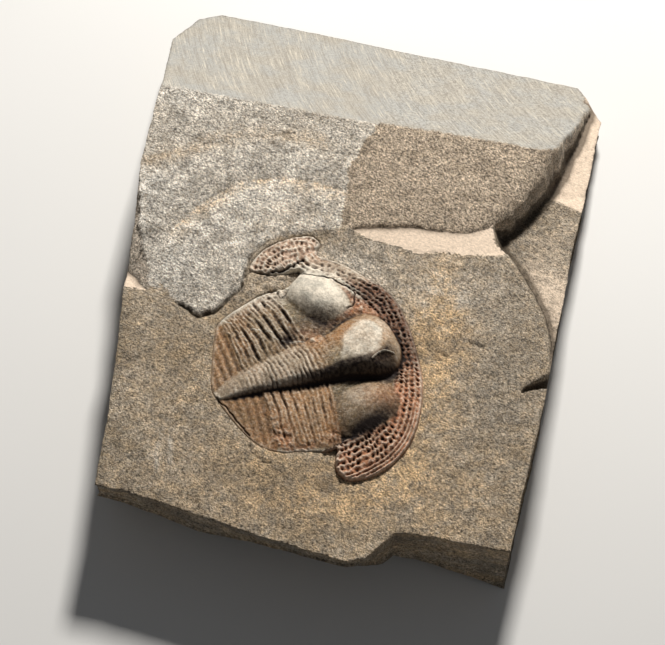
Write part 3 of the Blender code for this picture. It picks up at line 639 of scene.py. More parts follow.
def slab_tints(x, y, masks):
    """Where the rock is paler, ochre-stained, cream or dark, from 0 to 1, with painted light on the riser and
    painted shade in the troughs, on the broken riser and on the ledge.
    """
    upper, coarse, ledge, chip = (masks[name] for name in ("upper", "coarse", "ledge", "chip"))
    riser = riser_painted_light(x, masks)
    blotch = fractal(x, y, 9.0, 4, 300)
    near_gap, far_gap = gap_to(x, y, ARC_NEAR), gap_to(x, y, ARC_FAR)
    below_near = inside(x, y, np.array(ARC_NEAR + [(-1.8, 4.0), (-14.0, -6.0), (-26.1, -10.0)]))
    upper_pale = upper * (1.0 - coarse)
    pale = upper_pale * (0.72 + 0.3 * blotch + 0.4 * below_near * np.exp(-near_gap / 6.0))
    light = spots(x, y, LIGHT_PATCHES) * (1.0 - upper) * (0.8 + 0.6 * blotch)
    marks = 0.5 * np.maximum.reduce([bell(gap_to(x, y, line), 0.3) for line in PALE_MARKS])

    stain = spots(x, y, IRON_STAINS) * (0.75 + 0.9 * fractal(x, y, 5.0, 4, 310))
    arcs = below_near * bell(near_gap, 1.8) + bell(far_gap, 1.3)
    arcs = arcs + 0.5 * spot(x, y, (-8.0, 3.0), 7.0, 1.6, 0.2)
    stain = stain * (1.0 - upper) * (1.0 - ledge) + 0.2 * coarse
    stain = stain + 0.62 * arcs * pale * (0.8 + 0.5 * fractal(x, y, 3.0, 3, 320))

    powdery = smoothstep(y + 0.37 * (x - 26.1), 18.4, 19.4) + 0.3 * (1.0 - smoothstep(y, -4.0, 9.0)) + 0.42
    cream = masks["groove"] * smoothstep(x, -1.6, 0.2) + chip + ledge * unit(powdery)
    cream = cream * (0.9 + 0.25 * fractal(x, y, 4.0, 3, 325))
    # dark patches, and painted shade: on the broken riser, and a painted shadow under the upper bed's lip on
    # the ledge at (24.0, 6.8)
    dark_patch_and_shade = spots(x, y, SOOTY_PATCHES) + 0.5 * masks["broken"] + 0.8 * ledge * spot(x, y, (24.0, 6.8), 2.8)
    dark_patch_and_shade = dark_patch_and_shade * (0.6 + 0.9 * fractal(x, y, 2.5, 3, 330)) * (1.0 - upper)
    # grey in the troughs above the arcs, which face away from the light, is painted shade
    painted_trough_shade = (1.0 - below_near) * np.exp(-near_gap / 2.0) + 0.6 * bell(far_gap, 1.2) * (y > 12.0)
    grey = spots(x, y, GREY_PATCHES) + 0.4 * ledge * smoothstep(y, -1.0, 6.0) + 0.5 * painted_trough_shade * upper_pale
    return {
        # the riser is painted lighter and less coarse brown, as painted light
        "pale": unit(pale + marks + light + 0.6 * riser),
        "stain": unit(stain),
        "cream": unit(cream),
        "sawn": masks["sawn"],
        "coarse": unit(coarse * (1.0 - 0.8 * riser) + 0.8 * masks["notch"] * (1.0 - chip)),
        "dark_patch_and_shade": unit(dark_patch_and_shade),
        "grey": unit(grey * (0.8 + 0.6 * blotch)),
    }


def add_side_layers(tints, x, y, z, off_top):
    """Stains and greys along the layers that show in the slab's sides, and painted shade over all the sides.
    """
    layers = off_top * fractal(0.12 * (x - y), z, 1.5, 4, 640)
    tints["stain"] = tints["stain"] + np.clip(layers, 0.0, 0.5)
    tints["grey"] = tints["grey"] + np.clip(-1.6 * layers, 0.0, 0.8)
    # painted shade over all the sides
    tints["dark_patch_and_shade"] = tints["dark_patch_and_shade"] + 0.3 * off_top


# Fossil relief

def soft_higher(first, second, blend):
    """The higher of two heights, with the corner where they cross filled in."""
    near = unit(1.0 - np.abs(first - second) / blend)
    return np.maximum(first, second) + 0.25 * blend * near**2


def ridge_side(u, v):
    """How far across the midline ridge a point is: -1 at its near foot, 0 at its top, 1 at its far foot."""
    half_width = on_curve(u, RIDGE_U, RIDGE_HALF_WIDTH)
    lean = RIDGE_LEAN * (1.0 - 0.85 * smoothstep(u, 10.5, 14.8))
    from_top = v - on_curve(u, RIDGE_U, RIDGE_MIDDLE) + lean * half_width
    return from_top / (half_width * (1.0 + np.sign(from_top) * lean))


def ridge_height(u, v):
    """The midline: the front lobe with its worn facet and steep near side, then the ringed axis."""
    side = ridge_side(u, v)
    across = unit(np.abs(side))
    phase = (u + 0.45 * side**2 + 0.3 * fractal(u, v, 2.0, 3, 400) - RIBS_START) / RING_PITCH
    ring = np.abs(np.cos(math.pi * phase))**0.8
    clear_rings = 0.4 + 0.6 * smoothstep(fractal(u, v, 2.2, 3, 403), -0.35, 0.2)
    clear_rings = clear_rings * (0.35 + 0.65 * smoothstep(u, -8.5, -3.0))
    ring_depth = band(u, -12.0, -9.0, 3.2, 5.2) * (0.30 + 0.2 * fractal(u, v, 1.6, 2, 402)) * clear_rings
    crown = np.where(side < 0.0, (1.0 - across**3.0)**0.85, (1.0 - across**2.0)**0.75)
    lump = 0.12 * fractal(u, v, 1.3, 3, 405) + 0.14 * fractal(u, v, 4.0, 2, 408) * smoothstep(u, 4.0, 7.0)
    peak = on_curve(u, RIDGE_U, RIDGE_HEIGHT)
    height = (peak + ring_depth * (ring - 0.75) + lump) * crown

    facet = peak + 0.02 - 0.15 * (v + 1.8) + 0.03 * fractal(u, v, 1.5, 2, 409)
    facet = facet + 0.9 * smoothstep(-u, -7.0, -4.5)
    near_facet = unit(1.0 - np.abs(height - facet) / 0.5)
    height = np.where(u > 5.0, np.minimum(height, facet) - 0.12 * near_facet**2, height)
    neck = 0.5 * bell(u - 5.6, 0.4) * smoothstep(across, 0.15, 0.9)
    knob = KNOB_HEIGHT * spot(u, v, KNOB, 1.0) * (1.0 + 0.8 * fractal(u, v, 0.8, 3, 650))
    height = height - neck * crown + knob
    return np.where((u > RIDGE_U[0]) & (u < RIDGE_U[-1]), height, 0.0)


def cheek_height(u, v, centre_u, centre_v, half_length, half_width, turn, height, seed):
    """One domed cheek lobe with a faintly netted surface."""
    warp = 0.22 * fractal(u, v, 4.0, 3, seed)
    along = (u - centre_u) * math.cos(turn) + (v - centre_v) * math.sin(turn)
    across = (v - centre_v) * math.cos(turn) - (u - centre_u) * math.sin(turn)
    reach = np.abs((along + warp) / half_length)**2.1 + np.abs((across + warp) / half_width)**2.1
    dome = np.clip(1.0 - reach, 0.0, None)**0.7
    return dome * (height + 0.10 * fractal(u, v, 1.3, 3, seed + 3))


def rib_place(u, v):
    """Where a point would be along the upper midline if its rib were not swept back."""
    lower_scale = (RIBS_END - RIBS_START) / (LOWER_RIBS_END - LOWER_RIBS_START)
    level = np.where(v > 0.0, u, (u - LOWER_RIBS_START) * lower_scale + RIBS_START)
    reach = np.clip((np.abs(v) - 2.2) / 10.0, 0.0, 1.4)**1.5
    place = level
    for _ in range(3):
        upper = np.interp(place, SWEEP_PLACES, UPPER_SWEEP)
        lower = np.interp(place, SWEEP_PLACES, LOWER_SWEEP)
        place = level + np.where(v > 0.0, upper, lower) * reach
    return place


def rib_relief(u, v, to_margin, upper_side):
    """Where the thorax and the tail are, and the height of their ribs, furrows and lines."""
    place = rib_place(u, v) + 0.24 * fractal(u, v, 2.4, 4, 430, 0.6)
    thorax = band(place, RIBS_START - 0.05, RIBS_START + 0.15, RIBS_END + 0.3, RIBS_END + 0.8)
    thorax = thorax * smoothstep(to_margin, 0.2, 1.2) * (np.abs(v) < 13.6)
    phase = (place - RIBS_START) / RIB_PITCH
    deep = np.abs(phase - np.round(phase)) * RIB_PITCH
    shallow = np.abs(phase - 0.5 - np.round(phase - 0.5)) * RIB_PITCH
    patchy = 0.75 + 0.9 * fractal(u, v, 2.0, 3, 435)
    furrows = (0.36 + 0.15 * upper_side) * bell(deep, 0.2 + 0.09 * upper_side) * patchy
    furrows = furrows + (0.08 + 0.12 * upper_side) * bell(shallow, 0.2) * (1.6 - patchy)
    tail = smoothstep(-place, -RIBS_START - 0.1, -RIBS_START + 0.1) * (np.abs(v) < 13.0)
    lines = np.cos(math.tau * (place + 0.12 * fractal(u, v, 3.0, 2, 440)) / TAIL_PITCH)
    lines = lines * (0.045 + 0.055 * upper_side)
    return thorax, tail, thorax * (0.22 - furrows) + tail * (lines - 0.12)


def fringe_relief(u, v, past_head):
    """Where the pitted fringe, its narrow upper end and its faint part are, and its height."""
    outer = rounded(FOSSIL_MARGIN[:FRINGE_EDGE_POINTS] + FRINGE_END, 0.3, closed=False)
    from_edge, along_edge = distance_along(u, v, outer)
    fringe = smoothstep(past_head, -1.3, -0.7) * (from_edge < 6.2)
    fringe = fringe * (1.0 - ((u < HEAD_BACK_U - 0.8) & (np.abs(v) < 13.0)))
    depth = from_edge + 0.34 * fractal(u, v, 1.3, 3, 460)
    along = along_edge + 0.46 * fractal(u, v, 1.4, 3, 465)
    front = 1.0 - smoothstep(np.abs(v - 3.0), 7.0, 11.0)
    row_phase = depth / PIT_ROW * (1.0 + 0.18 * front) - 0.55
    pit_phase = along / PIT_PITCH + TIP_PIT_SHARE * np.clip(along - TIP_START, 0.0, None)
    pit_phase = pit_phase + 0.5 * (np.round(row_phase) % 2) * (1.0 - front) + 0.3 * depth
    row_off, pit_off = row_phase - np.round(row_phase), pit_phase - np.round(pit_phase)
    uneven = lattice_noise(np.round(pit_phase) * 0.37, np.round(row_phase) * 0.61, 0.5, 468)
    pits = bell(np.hypot(row_off, pit_off), 0.26 - 0.03 * front) * (0.64 - 0.15 * front + 0.6 * uneven)
    ridges, columns = (0.5 + 0.5 * np.cos(math.tau * (phase + 0.5)) for phase in (row_phase, pit_phase))
    pitted = (0.20 * ridges + 0.08 * columns - 0.52 * pits) * smoothstep(from_edge, 0.15, 0.5)

    lower_tip = smoothstep(-v, 8.0, 13.0)
    rim = lower_tip * (1.0 - smoothstep(from_edge, 1.1, 1.7))
    rim_ridges = 0.2 * np.cos(math.tau * from_edge / RIM_RIDGE_PITCH - 1.2)
    lens = smoothstep(v, 14.6, 15.8) * (1.0 - smoothstep(u, 10.6, 11.4))
    faint = smoothstep(v, 9.0, 12.5) * (1.0 - lens)
    height = 0.35 + 0.13 * np.clip(from_edge, 0.0, 4.0) + 0.25 * lower_tip - 0.1 * faint + 0.35 * lens
    height = height + ((1.0 - rim) * pitted + rim * rim_ridges) * (1.0 - 0.5 * faint - 0.35 * lens)
    height = height + (0.16 + 0.14 * front) * fractal(u, v, 0.8, 3, 469)
    return fringe, lens, faint, height + 0.3 * lens * fractal(u, v, 1.2, 3, 475)


def rope_place(u, v, past_head):
    """Where the twisted rubble runs beside the front lobe and behind the fringe, from 0 to 1."""
    past_foot = v - on_curve(u, RIDGE_U, RIDGE_MIDDLE) - on_curve(u, RIDGE_U, RIDGE_HALF_WIDTH)
    beside = bell(past_foot - 0.1, 0.7) * band(u, 5.5, 8.0, 14.0, 15.2)
    behind = bell(past_head + 1.3, 1.0) * band(v, 2.0, 4.0, 9.0, 11.0) * smoothstep(u, 8.0, 10.0)
    return unit(beside + behind)


def fossil_surface(u, v):
    """Height of the fossil above its bed, and masks of its parts."""
    margin = rounded(FOSSIL_MARGIN, 0.6, closed=True)
    edge_gap = gap_to(u, v, closed_line(margin))
    to_margin = np.where(inside(u, v, margin), edge_gap, -edge_gap)
    upper_side = smoothstep(v, -1.0, 1.0)
    thorax, tail, ribs = rib_relief(u, v, to_margin, upper_side)
    broken = unit(spots(u, v, BROKEN_PLACES))
    rubble = spot(u, v, (2.4, 13.6), 2.2, 1.8, 0.3)
    pillow = 1.0 - (1.0 - unit(to_margin / 7.0))**2
    flat = 0.06 + 1.25 * pillow + 0.35 * spot(u, v, (-1.0, 7.0), 4.0, 1.3) + ribs
    flat = flat + broken * (0.34 * fractal(u, v, 0.9, 3, 450, 0.65) - 0.08)
    flat = flat + 0.22 * rubble * fractal(u, v, 1.1, 3, 455)

    head = np.array(FRINGE_INNER + [(HEAD_BACK_U - 1.8, -12.6), (HEAD_BACK_U, 13.0), (5.2, 14.6)])
    head_gap = gap_to(u, v, closed_line(head))
    past_head = np.where(inside(u, v, head), -head_gap, head_gap) + 0.25 * fractal(u, v, 1.6, 2, 458)
    fringe, lens, faint, fringe_height = fringe_relief(u, v, past_head)
    shoulder = bell(past_head + 0.9, 1.0) * smoothstep(v, 6.0, 9.0) * smoothstep(u, 4.5, 6.5)
    rope = rope_place(u, v, past_head)
    flat = flat * (1.0 - fringe) + fringe_height * fringe + 0.55 * shoulder
    flat = flat + rope * (0.2 + 0.36 * fractal(u, v, 0.9, 3, 640, 0.65))

    cheeks = np.maximum(*(cheek_height(u, v, *cheek) for cheek in CHEEKS))
    ridge = ridge_height(u, v)
    height = soft_higher(soft_higher(flat, cheeks, 0.9), ridge, 0.35)
    on_cheek = smoothstep(cheeks - np.maximum(flat, ridge), -0.15, 0.5)
    on_ridge = smoothstep(ridge - np.maximum(flat, cheeks), -0.05, 0.3)

    crack = np.maximum.reduce([
        bell(gap_to(u, v, jagged(line, 0.25, 0.28, 1.3, 500)), width)
        for line, width in zip(CRACKS, CRACK_WIDTHS)
    ])
    scratch = np.maximum.reduce([
        bell(gap_to(u, v, jagged(line, 0.3, 0.16, 1.4, 510 + index)), 0.07)
        for index, line in enumerate(SCRATCHES)
    ])
    flake = bell(gap_to(u, v, rounded(FLAKE_LINE, 0.2, closed=False)), 0.08)
    height = height - 0.42 * crack + 0.05 * scratch + 0.3 * flake
    height = height - 0.5 * spot(u, v, HOLE, 0.7, 1.6, 0.3) - 0.4 * spot(u, v, (11.9, -3.2), 0.8, 1.9)

    grit = lattice_noise(u, v, 0.26, 420) + 0.9 * lattice_noise(u, v, 0.5, 421)
    rough = 0.035 + 0.03 * fringe + 0.06 * broken + 0.02 * thorax * upper_side + 0.04 * rubble - 0.02 * tail
    rough = rough * (1.0 - 0.6 * on_cheek - 0.6 * on_ridge * smoothstep(u, 4.0, 6.0))
    height = (height + rough * grit) * smoothstep(to_margin, -0.12, 0.22)
    height = height - 2.0 * np.clip(-to_margin, 0.0, 0.5)
    off_ridge = 1.0 - on_ridge
    off_lobes = (1.0 - on_cheek) * off_ridge
    masks = {
        "fringe": fringe * off_lobes, "rope": rope * off_lobes, "cheek": on_cheek, "ridge": on_ridge,
        "tail": tail * off_ridge, "thorax": thorax * off_ridge, "broken": broken, "crack": crack,
        "scratch": np.maximum(scratch, flake), "flake": flake, "lens": lens, "faint": faint,
        "shoulder": shoulder, "rubble": rubble,
    }
    return height, masks


def ridge_painted_shade(u, v):
    """Painted shade on the near side of the midline ridge, which faces away from the light, from 0 to 1."""
    side = -ridge_side(u, v)
    dark = smoothstep(side + 0.18 * smoothstep(u, 3.0, 6.0), 0.15, 0.45) * (1.0 - smoothstep(side, 1.05, 1.3))
    return dark * band(u, -11.5, -9.0, 12.6, 14.6) * (0.45 + 0.4 * smoothstep(u, -2.0, 4.0))


def fossil_tints(u, v, masks, hollow):
    """Where the fossil is rusty, tan, worn pale or dark, from 0 to 1; the dark holds painted shade in the
    hollows, down the ridge's near side and on the cheeks' lower flanks.
    """
    fringe, cheek, ridge, tail, thorax = (
        masks[name] for name in ("fringe", "cheek", "ridge", "tail", "thorax")
    )
    lens, faint, shoulder = masks["lens"], masks["faint"], masks["shoulder"]
    blotch = fractal(u, v, 2.5, 4, 600)
    speck = lattice_noise(u, v, 0.3, 610) + lattice_noise(u, v, 0.17, 611)
    upper, lower, on_axis = smoothstep(v, 0.0, 3.0), smoothstep(-v, 0.0, 3.0), 1.0 - smoothstep(u, 2.0, 6.0)

    rust = fringe * (1.0 - 0.25 * lens - 0.65 * faint) + 0.25 * shoulder + 0.5 * masks["broken"]
    rust = rust + 0.75 * masks["rope"] + 0.5 * spot(u, v, (11.0, -8.5), 2.2) + 0.3 * spot(u, v, KNOB, 1.2)

    tan = 0.95 * tail + thorax * (0.9 * lower + 0.36 * upper + 0.4 * spot(u, v, (-5.5, 8.0), 2.5, 2.0, 1.6))
    tan = tan + ridge * (spots(u, v, TAN_ON_RIDGE) + 0.5 * smoothstep(u, 6.0, 9.0) + 0.65 * on_axis)
    tan = tan + cheek * (spots(u, v, TAN_ON_CHEEKS) + 0.3 * lower)

    patch = rounded(WORN_PATCH, 0.3, closed=True)
    patch_gap = gap_to(u, v, closed_line(patch))
    into_patch = np.where(inside(u, v, patch), patch_gap, -patch_gap) + 0.2 * fractal(u, v, 1.0, 3, 620)
    worn = 0.57 * smoothstep(into_patch, -0.35, 0.5) + 0.28 * smoothstep(-u, -4.0, 0.0)
    worn = ridge * (worn + 0.3 * spot(u, v, (13.4, 1.6), 1.5, 1.5, 1.6)) + cheek * spots(u, v, WORN_ON_CHEEKS)
    worn = worn + 1.2 * masks["scratch"] + 0.3 * lens + 0.35 * faint + 0.3 * masks["rubble"] + 0.45 * shoulder
    worn = worn + np.clip(hollow * 3.2, 0.0, 0.5) * (1.0 - 0.5 * tail) + 0.22 * unit(speck)

    tail_streak = 0.5 - 0.5 * np.cos(math.tau * rib_place(u, v) / TAIL_PITCH)
    # painted shade darkens the hollows; the cracks and specks are the shell's own dark
    dark = np.clip(-hollow * (4.8 - 1.4 * lens), 0.0, 0.97) + 0.85 * masks["crack"] + 0.2 * unit(-speck)
    dark = dark + 0.3 * tail * tail_streak + 0.08 * thorax * upper + 0.07 * ridge * on_axis
    # painted shade on the cheeks' lower flanks: the spots at (9.0, -11.0) and (6.4, 6.0), and the first dark
    # place
    dark = dark + cheek * (0.5 * spot(u, v, (9.0, -11.0), 2.6, 1.5, 0.4) + 0.14 * lower)
    dark = dark + spots(u, v, DARK_PLACES) + 0.75 * spot(u, v, (6.4, 6.0), 1.8, 2.0, -0.6) * (1.0 - ridge)
    dark = dark + 0.6 * fringe * smoothstep(-np.abs(v - 3.0), -9.0, -6.0)
    # painted shade down the ridge's near side
    dark = dark + ridge_painted_shade(u, v) * (1.0 - masks["flake"])
    return {
        "rust": unit(rust * (0.9 + 0.5 * blotch)),
        "tan": unit(tan * (0.9 + 0.6 * blotch)),
        "worn": unit(worn * (1.0 + 0.4 * blotch)),
        "dark": unit(dark),
    }


# Meshes

def add_plan(points, faces, ring, lines, inner, surface, face_up):
    """Triangulates a plan inside its ring along its lines, raised to a surface, onto a growing mesh."""
    corners = [tuple(point) for point in ring]
    edges = [(index, (index + 1) % len(corners)) for index in range(len(corners))]
    for line in lines:
        first = len(corners)
        corners += [tuple(point) for point in line]
        edges += [(index, index + 1) for index in range(first, len(corners) - 1)]
    corners += [tuple(point) for point in inner]
    plan, _, found, _, _, _ = delaunay_2d_cdt([Vector(c) for c in corners], edges, [], 1, 1e-5)
    x, y = np.array([tuple(point) for point in plan]).T
    start = sum(len(block) for block in points)
    points.append(np.column_stack((x, y, surface(x, y))))
    faces += [[start + index for index in (face if face_up else face[::-1])] for face in found]


def add_wall(points, faces, levels):
    """Joins stacked rings of the same count into a wall, the lowest ring first."""
    count = len(levels[0])
    start = sum(len(block) for block in points)
    points += levels
    for row in range(len(levels) - 1):
        low, high = start + row * count, start + (row + 1) * count
        for index in range(count):
            after = (index + 1) % count
            faces.append([low + index, low + after, high + after, high + index])


def welded_mesh(name, points, faces):
    """One closed mesh of all the parts, in metres."""
    mesh = bpy.data.meshes.new(name)
    mesh.from_pydata(np.vstack(points) * MM, [], faces)
    bm = bmesh.new()
    bm.from_mesh(mesh)
    bmesh.ops.remove_doubles(bm, verts=bm.verts, dist=0.002 * MM)
    bmesh.ops.triangulate(bm, faces=bm.faces)
    bmesh.ops.recalc_face_normals(bm, faces=bm.faces)
    bm.to_mesh(mesh)
    bm.free()
    mesh.shade_smooth()
    return mesh


def add_masks(mesh, masks):
    """Stores one number a point for each mask, which the materials read."""
    for name, values in masks.items():
        attribute = mesh.attributes.new(name, "FLOAT", "POINT")
        attribute.data.foreach_set("value", np.asarray(values, dtype=np.float32))


def plan_of(mesh):
    """The plan places and heights of a mesh's points, in millimetres."""
    places = np.zeros(3 * len(mesh.vertices))
    mesh.vertices.foreach_get("co", places)
    return (places.reshape(-1, 3) / MM).T


# Shader tools

def linear(red, green, blue):
    """A screen colour from 0 to 255 as the linear colour that shaders use."""
    return tuple(
        part / 12.92 if part <= 0.04045 else ((part + 0.055) / 1.055)**2.4
        for part in (value / 255.0 for value in (red, green, blue))
    )


def add_node(tree, kind, inputs=(), **settings):
    """A shader node with its settings, and its inputs set or linked by name or number."""
    made = tree.nodes.new(kind)
    for name, value in settings.items():
        setattr(made, name, value)
    for key, value in dict(inputs).items():
        socket = made.inputs[key]
        if isinstance(value, bpy.types.NodeSocket):
            tree.links.new(value, socket)
        else:
            socket.default_value = value
    return made


def maths(tree, operation, first, second=0.0, third=0.0):
    """The output of a Math node."""
    return add_node(tree, "ShaderNodeMath", {0: first, 1: second, 2: third}, operation=operation).outputs[0]


def times(tree, first, second):
    """The product of two values."""
    return maths(tree, "MULTIPLY", first, second)


def vector_maths(tree, operation, first, second=(0.0, 0.0, 0.0)):
    """The vector output of a Vector Math node."""
    return add_node(tree, "ShaderNodeVectorMath", {0: first, 1: second}, operation=operation).outputs[0]


def mixed(tree, factor, first, second, blend="MIX"):
    """The colour output of a Mix node."""
    made = add_node(tree, "ShaderNodeMix", data_type="RGBA", blend_type=blend)
    for index, value in ((0, factor), (6, first), (7, second)):
        if isinstance(value, bpy.types.NodeSocket):
            tree.links.new(value, made.inputs[index])
        elif index == 0:
            made.inputs[index].default_value = value
        else:
            made.inputs[index].default_value = (*value, 1.0)
    return made.outputs[2]


def noise(tree, place, scale, detail=4.0, roughness=0.6, stretch=None):
    """A noise texture's value over the object, with its scale in bumps a millimetre."""
    if stretch:
        place = add_node(tree, "ShaderNodeMapping", {"Vector": place, "Scale": stretch}).outputs[0]
    scale = scale if isinstance(scale, bpy.types.NodeSocket) else scale / MM
    inputs = {"Vector": place, "Scale": scale, "Detail": detail, "Roughness": roughness}
    return add_node(tree, "ShaderNodeTexNoise", inputs).outputs["Fac"]


def spread(tree, value, low, high, to_low=0.0, to_high=1.0):
    """A value's range stretched to another, and clamped."""
    inputs = {"Value": value, 1: low, 2: high, 3: to_low, 4: to_high}
    return add_node(tree, "ShaderNodeMapRange", inputs, clamp=True).outputs[0]


def grain_group():
    """Mineral grains: a brightness factor that speckles a colour, a height for its relief, and a warmth."""
    name = "Mineral Grain"
    if name in bpy.data.node_groups:
        return bpy.data.node_groups[name]
    tree = bpy.data.node_groups.new(name, "ShaderNodeTree")
    for socket, low, high, default in (
        ("Grains per mm", 0.1, 20.0, 3.0), ("Speckle", 0.0, 1.0, 0.4), ("Streak", 0.1, 4.0, 1.0),
    ):
        made = tree.interface.new_socket(socket, in_out="INPUT", socket_type="NodeSocketFloat")
        made.min_value, made.max_value, made.default_value = low, high, default
    for socket in ("Brightness", "Height", "Warmth"):
        tree.interface.new_socket(socket, in_out="OUTPUT", socket_type="NodeSocketFloat")
    entry, exit_node = tree.nodes.new("NodeGroupInput"), tree.nodes.new("NodeGroupOutput")
    place = add_node(tree, "ShaderNodeTexCoord").outputs["Object"]
    scale = maths(tree, "DIVIDE", entry.outputs["Grains per mm"], MM)
    stretch = add_node(tree, "ShaderNodeCombineXYZ", {0: entry.outputs["Streak"], 1: 1.0, 2: 1.0}).outputs[0]
    turned = add_node(
        tree, "ShaderNodeVectorRotate", {"Vector": place, "Angle": STREAK_ANGLE}, rotation_type="Z_AXIS"
    ).outputs[0]
    place = vector_maths(tree, "MULTIPLY", turned, stretch)
    coarse = noise(tree, place, scale, 3.0, 0.7)
    fine_scale = times(tree, scale, 2.6)
    fine = noise(tree, place, fine_scale, 2.0, 0.7)
    cells = add_node(tree, "ShaderNodeTexVoronoi", {"Vector": place, "Scale": fine_scale}, feature="F1")
    crystal = spread(tree, cells.outputs["Distance"], 0.1, 0.75, 1.0, 0.0)
    blend = maths(tree, "ADD", times(tree, coarse, 0.55), times(tree, fine, 0.45))
    centred = times(tree, maths(tree, "SUBTRACT", blend, 0.5), GRAIN_CONTRAST)
    bright = maths(tree, "MULTIPLY_ADD", centred, entry.outputs["Speckle"], 1.0)
    outputs = {
        "Brightness": maths(tree, "MAXIMUM", bright, DARKEST_GRAIN),
        "Height": maths(tree, "ADD", times(tree, coarse, 0.6), times(tree, crystal, 0.4)),
        "Warmth": add_node(tree, "ShaderNodeSeparateColor", {0: cells.outputs["Color"]}).outputs[0],
    }
    for socket, value in outputs.items():
        tree.links.new(value, exit_node.inputs[socket])
    return tree


def place_grain(tree, grains, speckle, streak=1.0):
    """The grain group with one material's own values."""
    made = tree.nodes.new("ShaderNodeGroup")
    made.node_tree = grain_group()
    made.inputs["Grains per mm"].default_value = grains
    made.inputs["Streak"].default_value = streak
    tree.links.new(speckle, made.inputs["Speckle"])
    return made


def stone_material(name):
    """A new material with its shader and the place to read textures at."""
    material = bpy.data.materials.new(name)
    material.use_nodes = True
    tree = material.node_tree
    shader = tree.nodes["Principled BSDF"]
    shader.inputs["Specular IOR Level"].default_value = 0.25
    place = add_node(tree, "ShaderNodeTexCoord").outputs["Object"]
    return material, tree, shader, place


def mask_of(tree, name):
    """A mask stored on the mesh."""
    return add_node(tree, "ShaderNodeAttribute", attribute_name=name).outputs["Fac"]


def saw_strands(tree, place, centre):
    """Noise drawn out into arcs round the saw's centre, as a value over the object."""
    from_centre = vector_maths(tree, "SUBTRACT", place, tuple(centre))
    flat = vector_maths(tree, "MULTIPLY", from_centre, (1.0, 1.0, 0.0))
    radius = add_node(tree, "ShaderNodeVectorMath", {0: flat}, operation="LENGTH").outputs["Value"]
    facing = vector_maths(tree, "NORMALIZE", flat)
    along = vector_maths(tree, "MULTIPLY", facing, (SAW_MARK_CHANGE, SAW_MARK_CHANGE, 0.0))
    across = add_node(tree, "ShaderNodeCombineXYZ", {2: radius}).outputs[0]
    return noise(tree, vector_maths(tree, "ADD", along, across), 3.6, 4.0, 0.85)


def bed_colour(tree, place, look, sawn):
    """The colour of the beds before the grain, where they are freshly broken, and where they are coarse."""
    pale, stain, cream, coarse, dark_patch_and_shade, grey = (
        mask_of(tree, name) for name in ("pale", "stain", "cream", "coarse", "dark_patch_and_shade", "grey")
    )
    cloud = noise(tree, place, 0.16, 5.0, 0.62)
    mottle = noise(tree, place, 0.9, 4.0, 0.7)
    patch = noise(tree, place, 0.36, 5.0, 0.72, (1.0, 1.7, 1.0))
    upper_cloud = noise(tree, place, 0.36, 5.0, 0.7, (1.0, 1.5, 1.0))
    upper_shade = times(tree, spread(tree, upper_cloud, 0.58, 0.42), 0.6)
    fresh = spread(tree, maths(tree, "MULTIPLY_ADD", mottle, 0.5, cream), 0.62, 1.05)
    colour = mixed(tree, spread(tree, cloud, 0.38, 0.62), look.rock_dark, look.rock_light)
    for share, tone in (
        (times(tree, spread(tree, mottle, 0.42, 0.68), 0.6), look.rock_warm),
        (pale, mixed(tree, upper_shade, look.upper_bed, look.sawn_cool)),
        (grey, look.rock_grey),
        (times(tree, spread(tree, patch, 0.38, 0.55, 1.0, 0.0), 0.5), look.rock_grey),
        (times(tree, stain, spread(tree, mottle, 0.36, 0.60, 0.2, 1.0)), look.stain),
        (times(tree, coarse, 0.8), look.coarse_bed),
        (fresh, look.fresh),
        # dark patches and painted shade, in the crevice colour
        (times(tree, dark_patch_and_shade, 0.55), look.crevice_and_shade),
        (sawn, mixed(tree, spread(tree, cloud, 0.42, 0.58), look.sawn, look.sawn_cool)),
    ):
        colour = mixed(tree, share, colour, tone)
    return colour, fresh, coarse


def rock_material(look):
    """Silty rock: ochre-grey beds, a paler upper bed, cream fresh breaks and one sawn face."""
    material, tree, shader, place = stone_material("silty rock")
    sawn = mask_of(tree, "sawn")
    colour, fresh, coarse = bed_colour(tree, place, look, sawn)
    rough_face = maths(tree, "SUBTRACT", 1.0, maths(tree, "MAXIMUM", sawn, fresh))
    speckle = maths(tree, "MULTIPLY_ADD", coarse, 0.2, spread(tree, rough_face, 0.0, 1.0, 0.22, 0.9))
    grain = place_grain(tree, 4.0, speckle, 0.6)
    colour = mixed(tree, 1.0, colour, grain.outputs["Brightness"], "MULTIPLY")
    weathering = spread(tree, noise(tree, place, 0.42, 5.0, 0.62, (1.0, 1.5, 1.0)), 0.37, 0.63, 0.82, 1.24)
    colour = mixed(tree, rough_face, colour, weathering, "MULTIPLY")
    warm = times(tree, spread(tree, grain.outputs["Warmth"], 0.72, 0.95), 0.4)
    colour = mixed(tree, times(tree, warm, rough_face), colour, look.rock_warm)
    # painted shade darkens the hollows
    colour = mixed(tree, spread(tree, mask_of(tree, "hollow"), -0.30, -0.03, 0.75, 0.0), colour, look.crevice_and_shade)

    strands = saw_strands(tree, place, look.saw_centre)
    fade = spread(tree, noise(tree, place, 0.25, 3.0), 0.42, 0.58, 0.2, 1.0)
    marks = times(tree, times(tree, spread(tree, strands, 0.5, 0.62), fade), sawn)
    scored = times(tree, times(tree, spread(tree, strands, 0.48, 0.38), sawn), 0.7)
    colour = mixed(tree, scored, colour, look.rock_grey)
    colour = mixed(tree, times(tree, marks, 0.8), colour, look.saw_mark)
    tree.links.new(colour, shader.inputs["Base Color"])
    tree.links.new(spread(tree, grain.outputs["Height"], 0.3, 0.7, 0.98, 0.8), shader.inputs["Roughness"])
    relief = times(tree, grain.outputs["Height"], spread(tree, rough_face, 0.0, 1.0, 0.12, 1.0))
    bump = add_node(tree, "ShaderNodeBump", {"Height": relief, "Strength": 1.0, "Distance": look.bump_depth})
    saw_bump = add_node(tree, "ShaderNodeBump", {
        "Height": marks, "Strength": 0.8, "Distance": SAW_MARK_DEPTH, "Normal": bump.outputs[0],
    })
    tree.links.new(saw_bump.outputs[0], shader.inputs["Normal"])
    return material


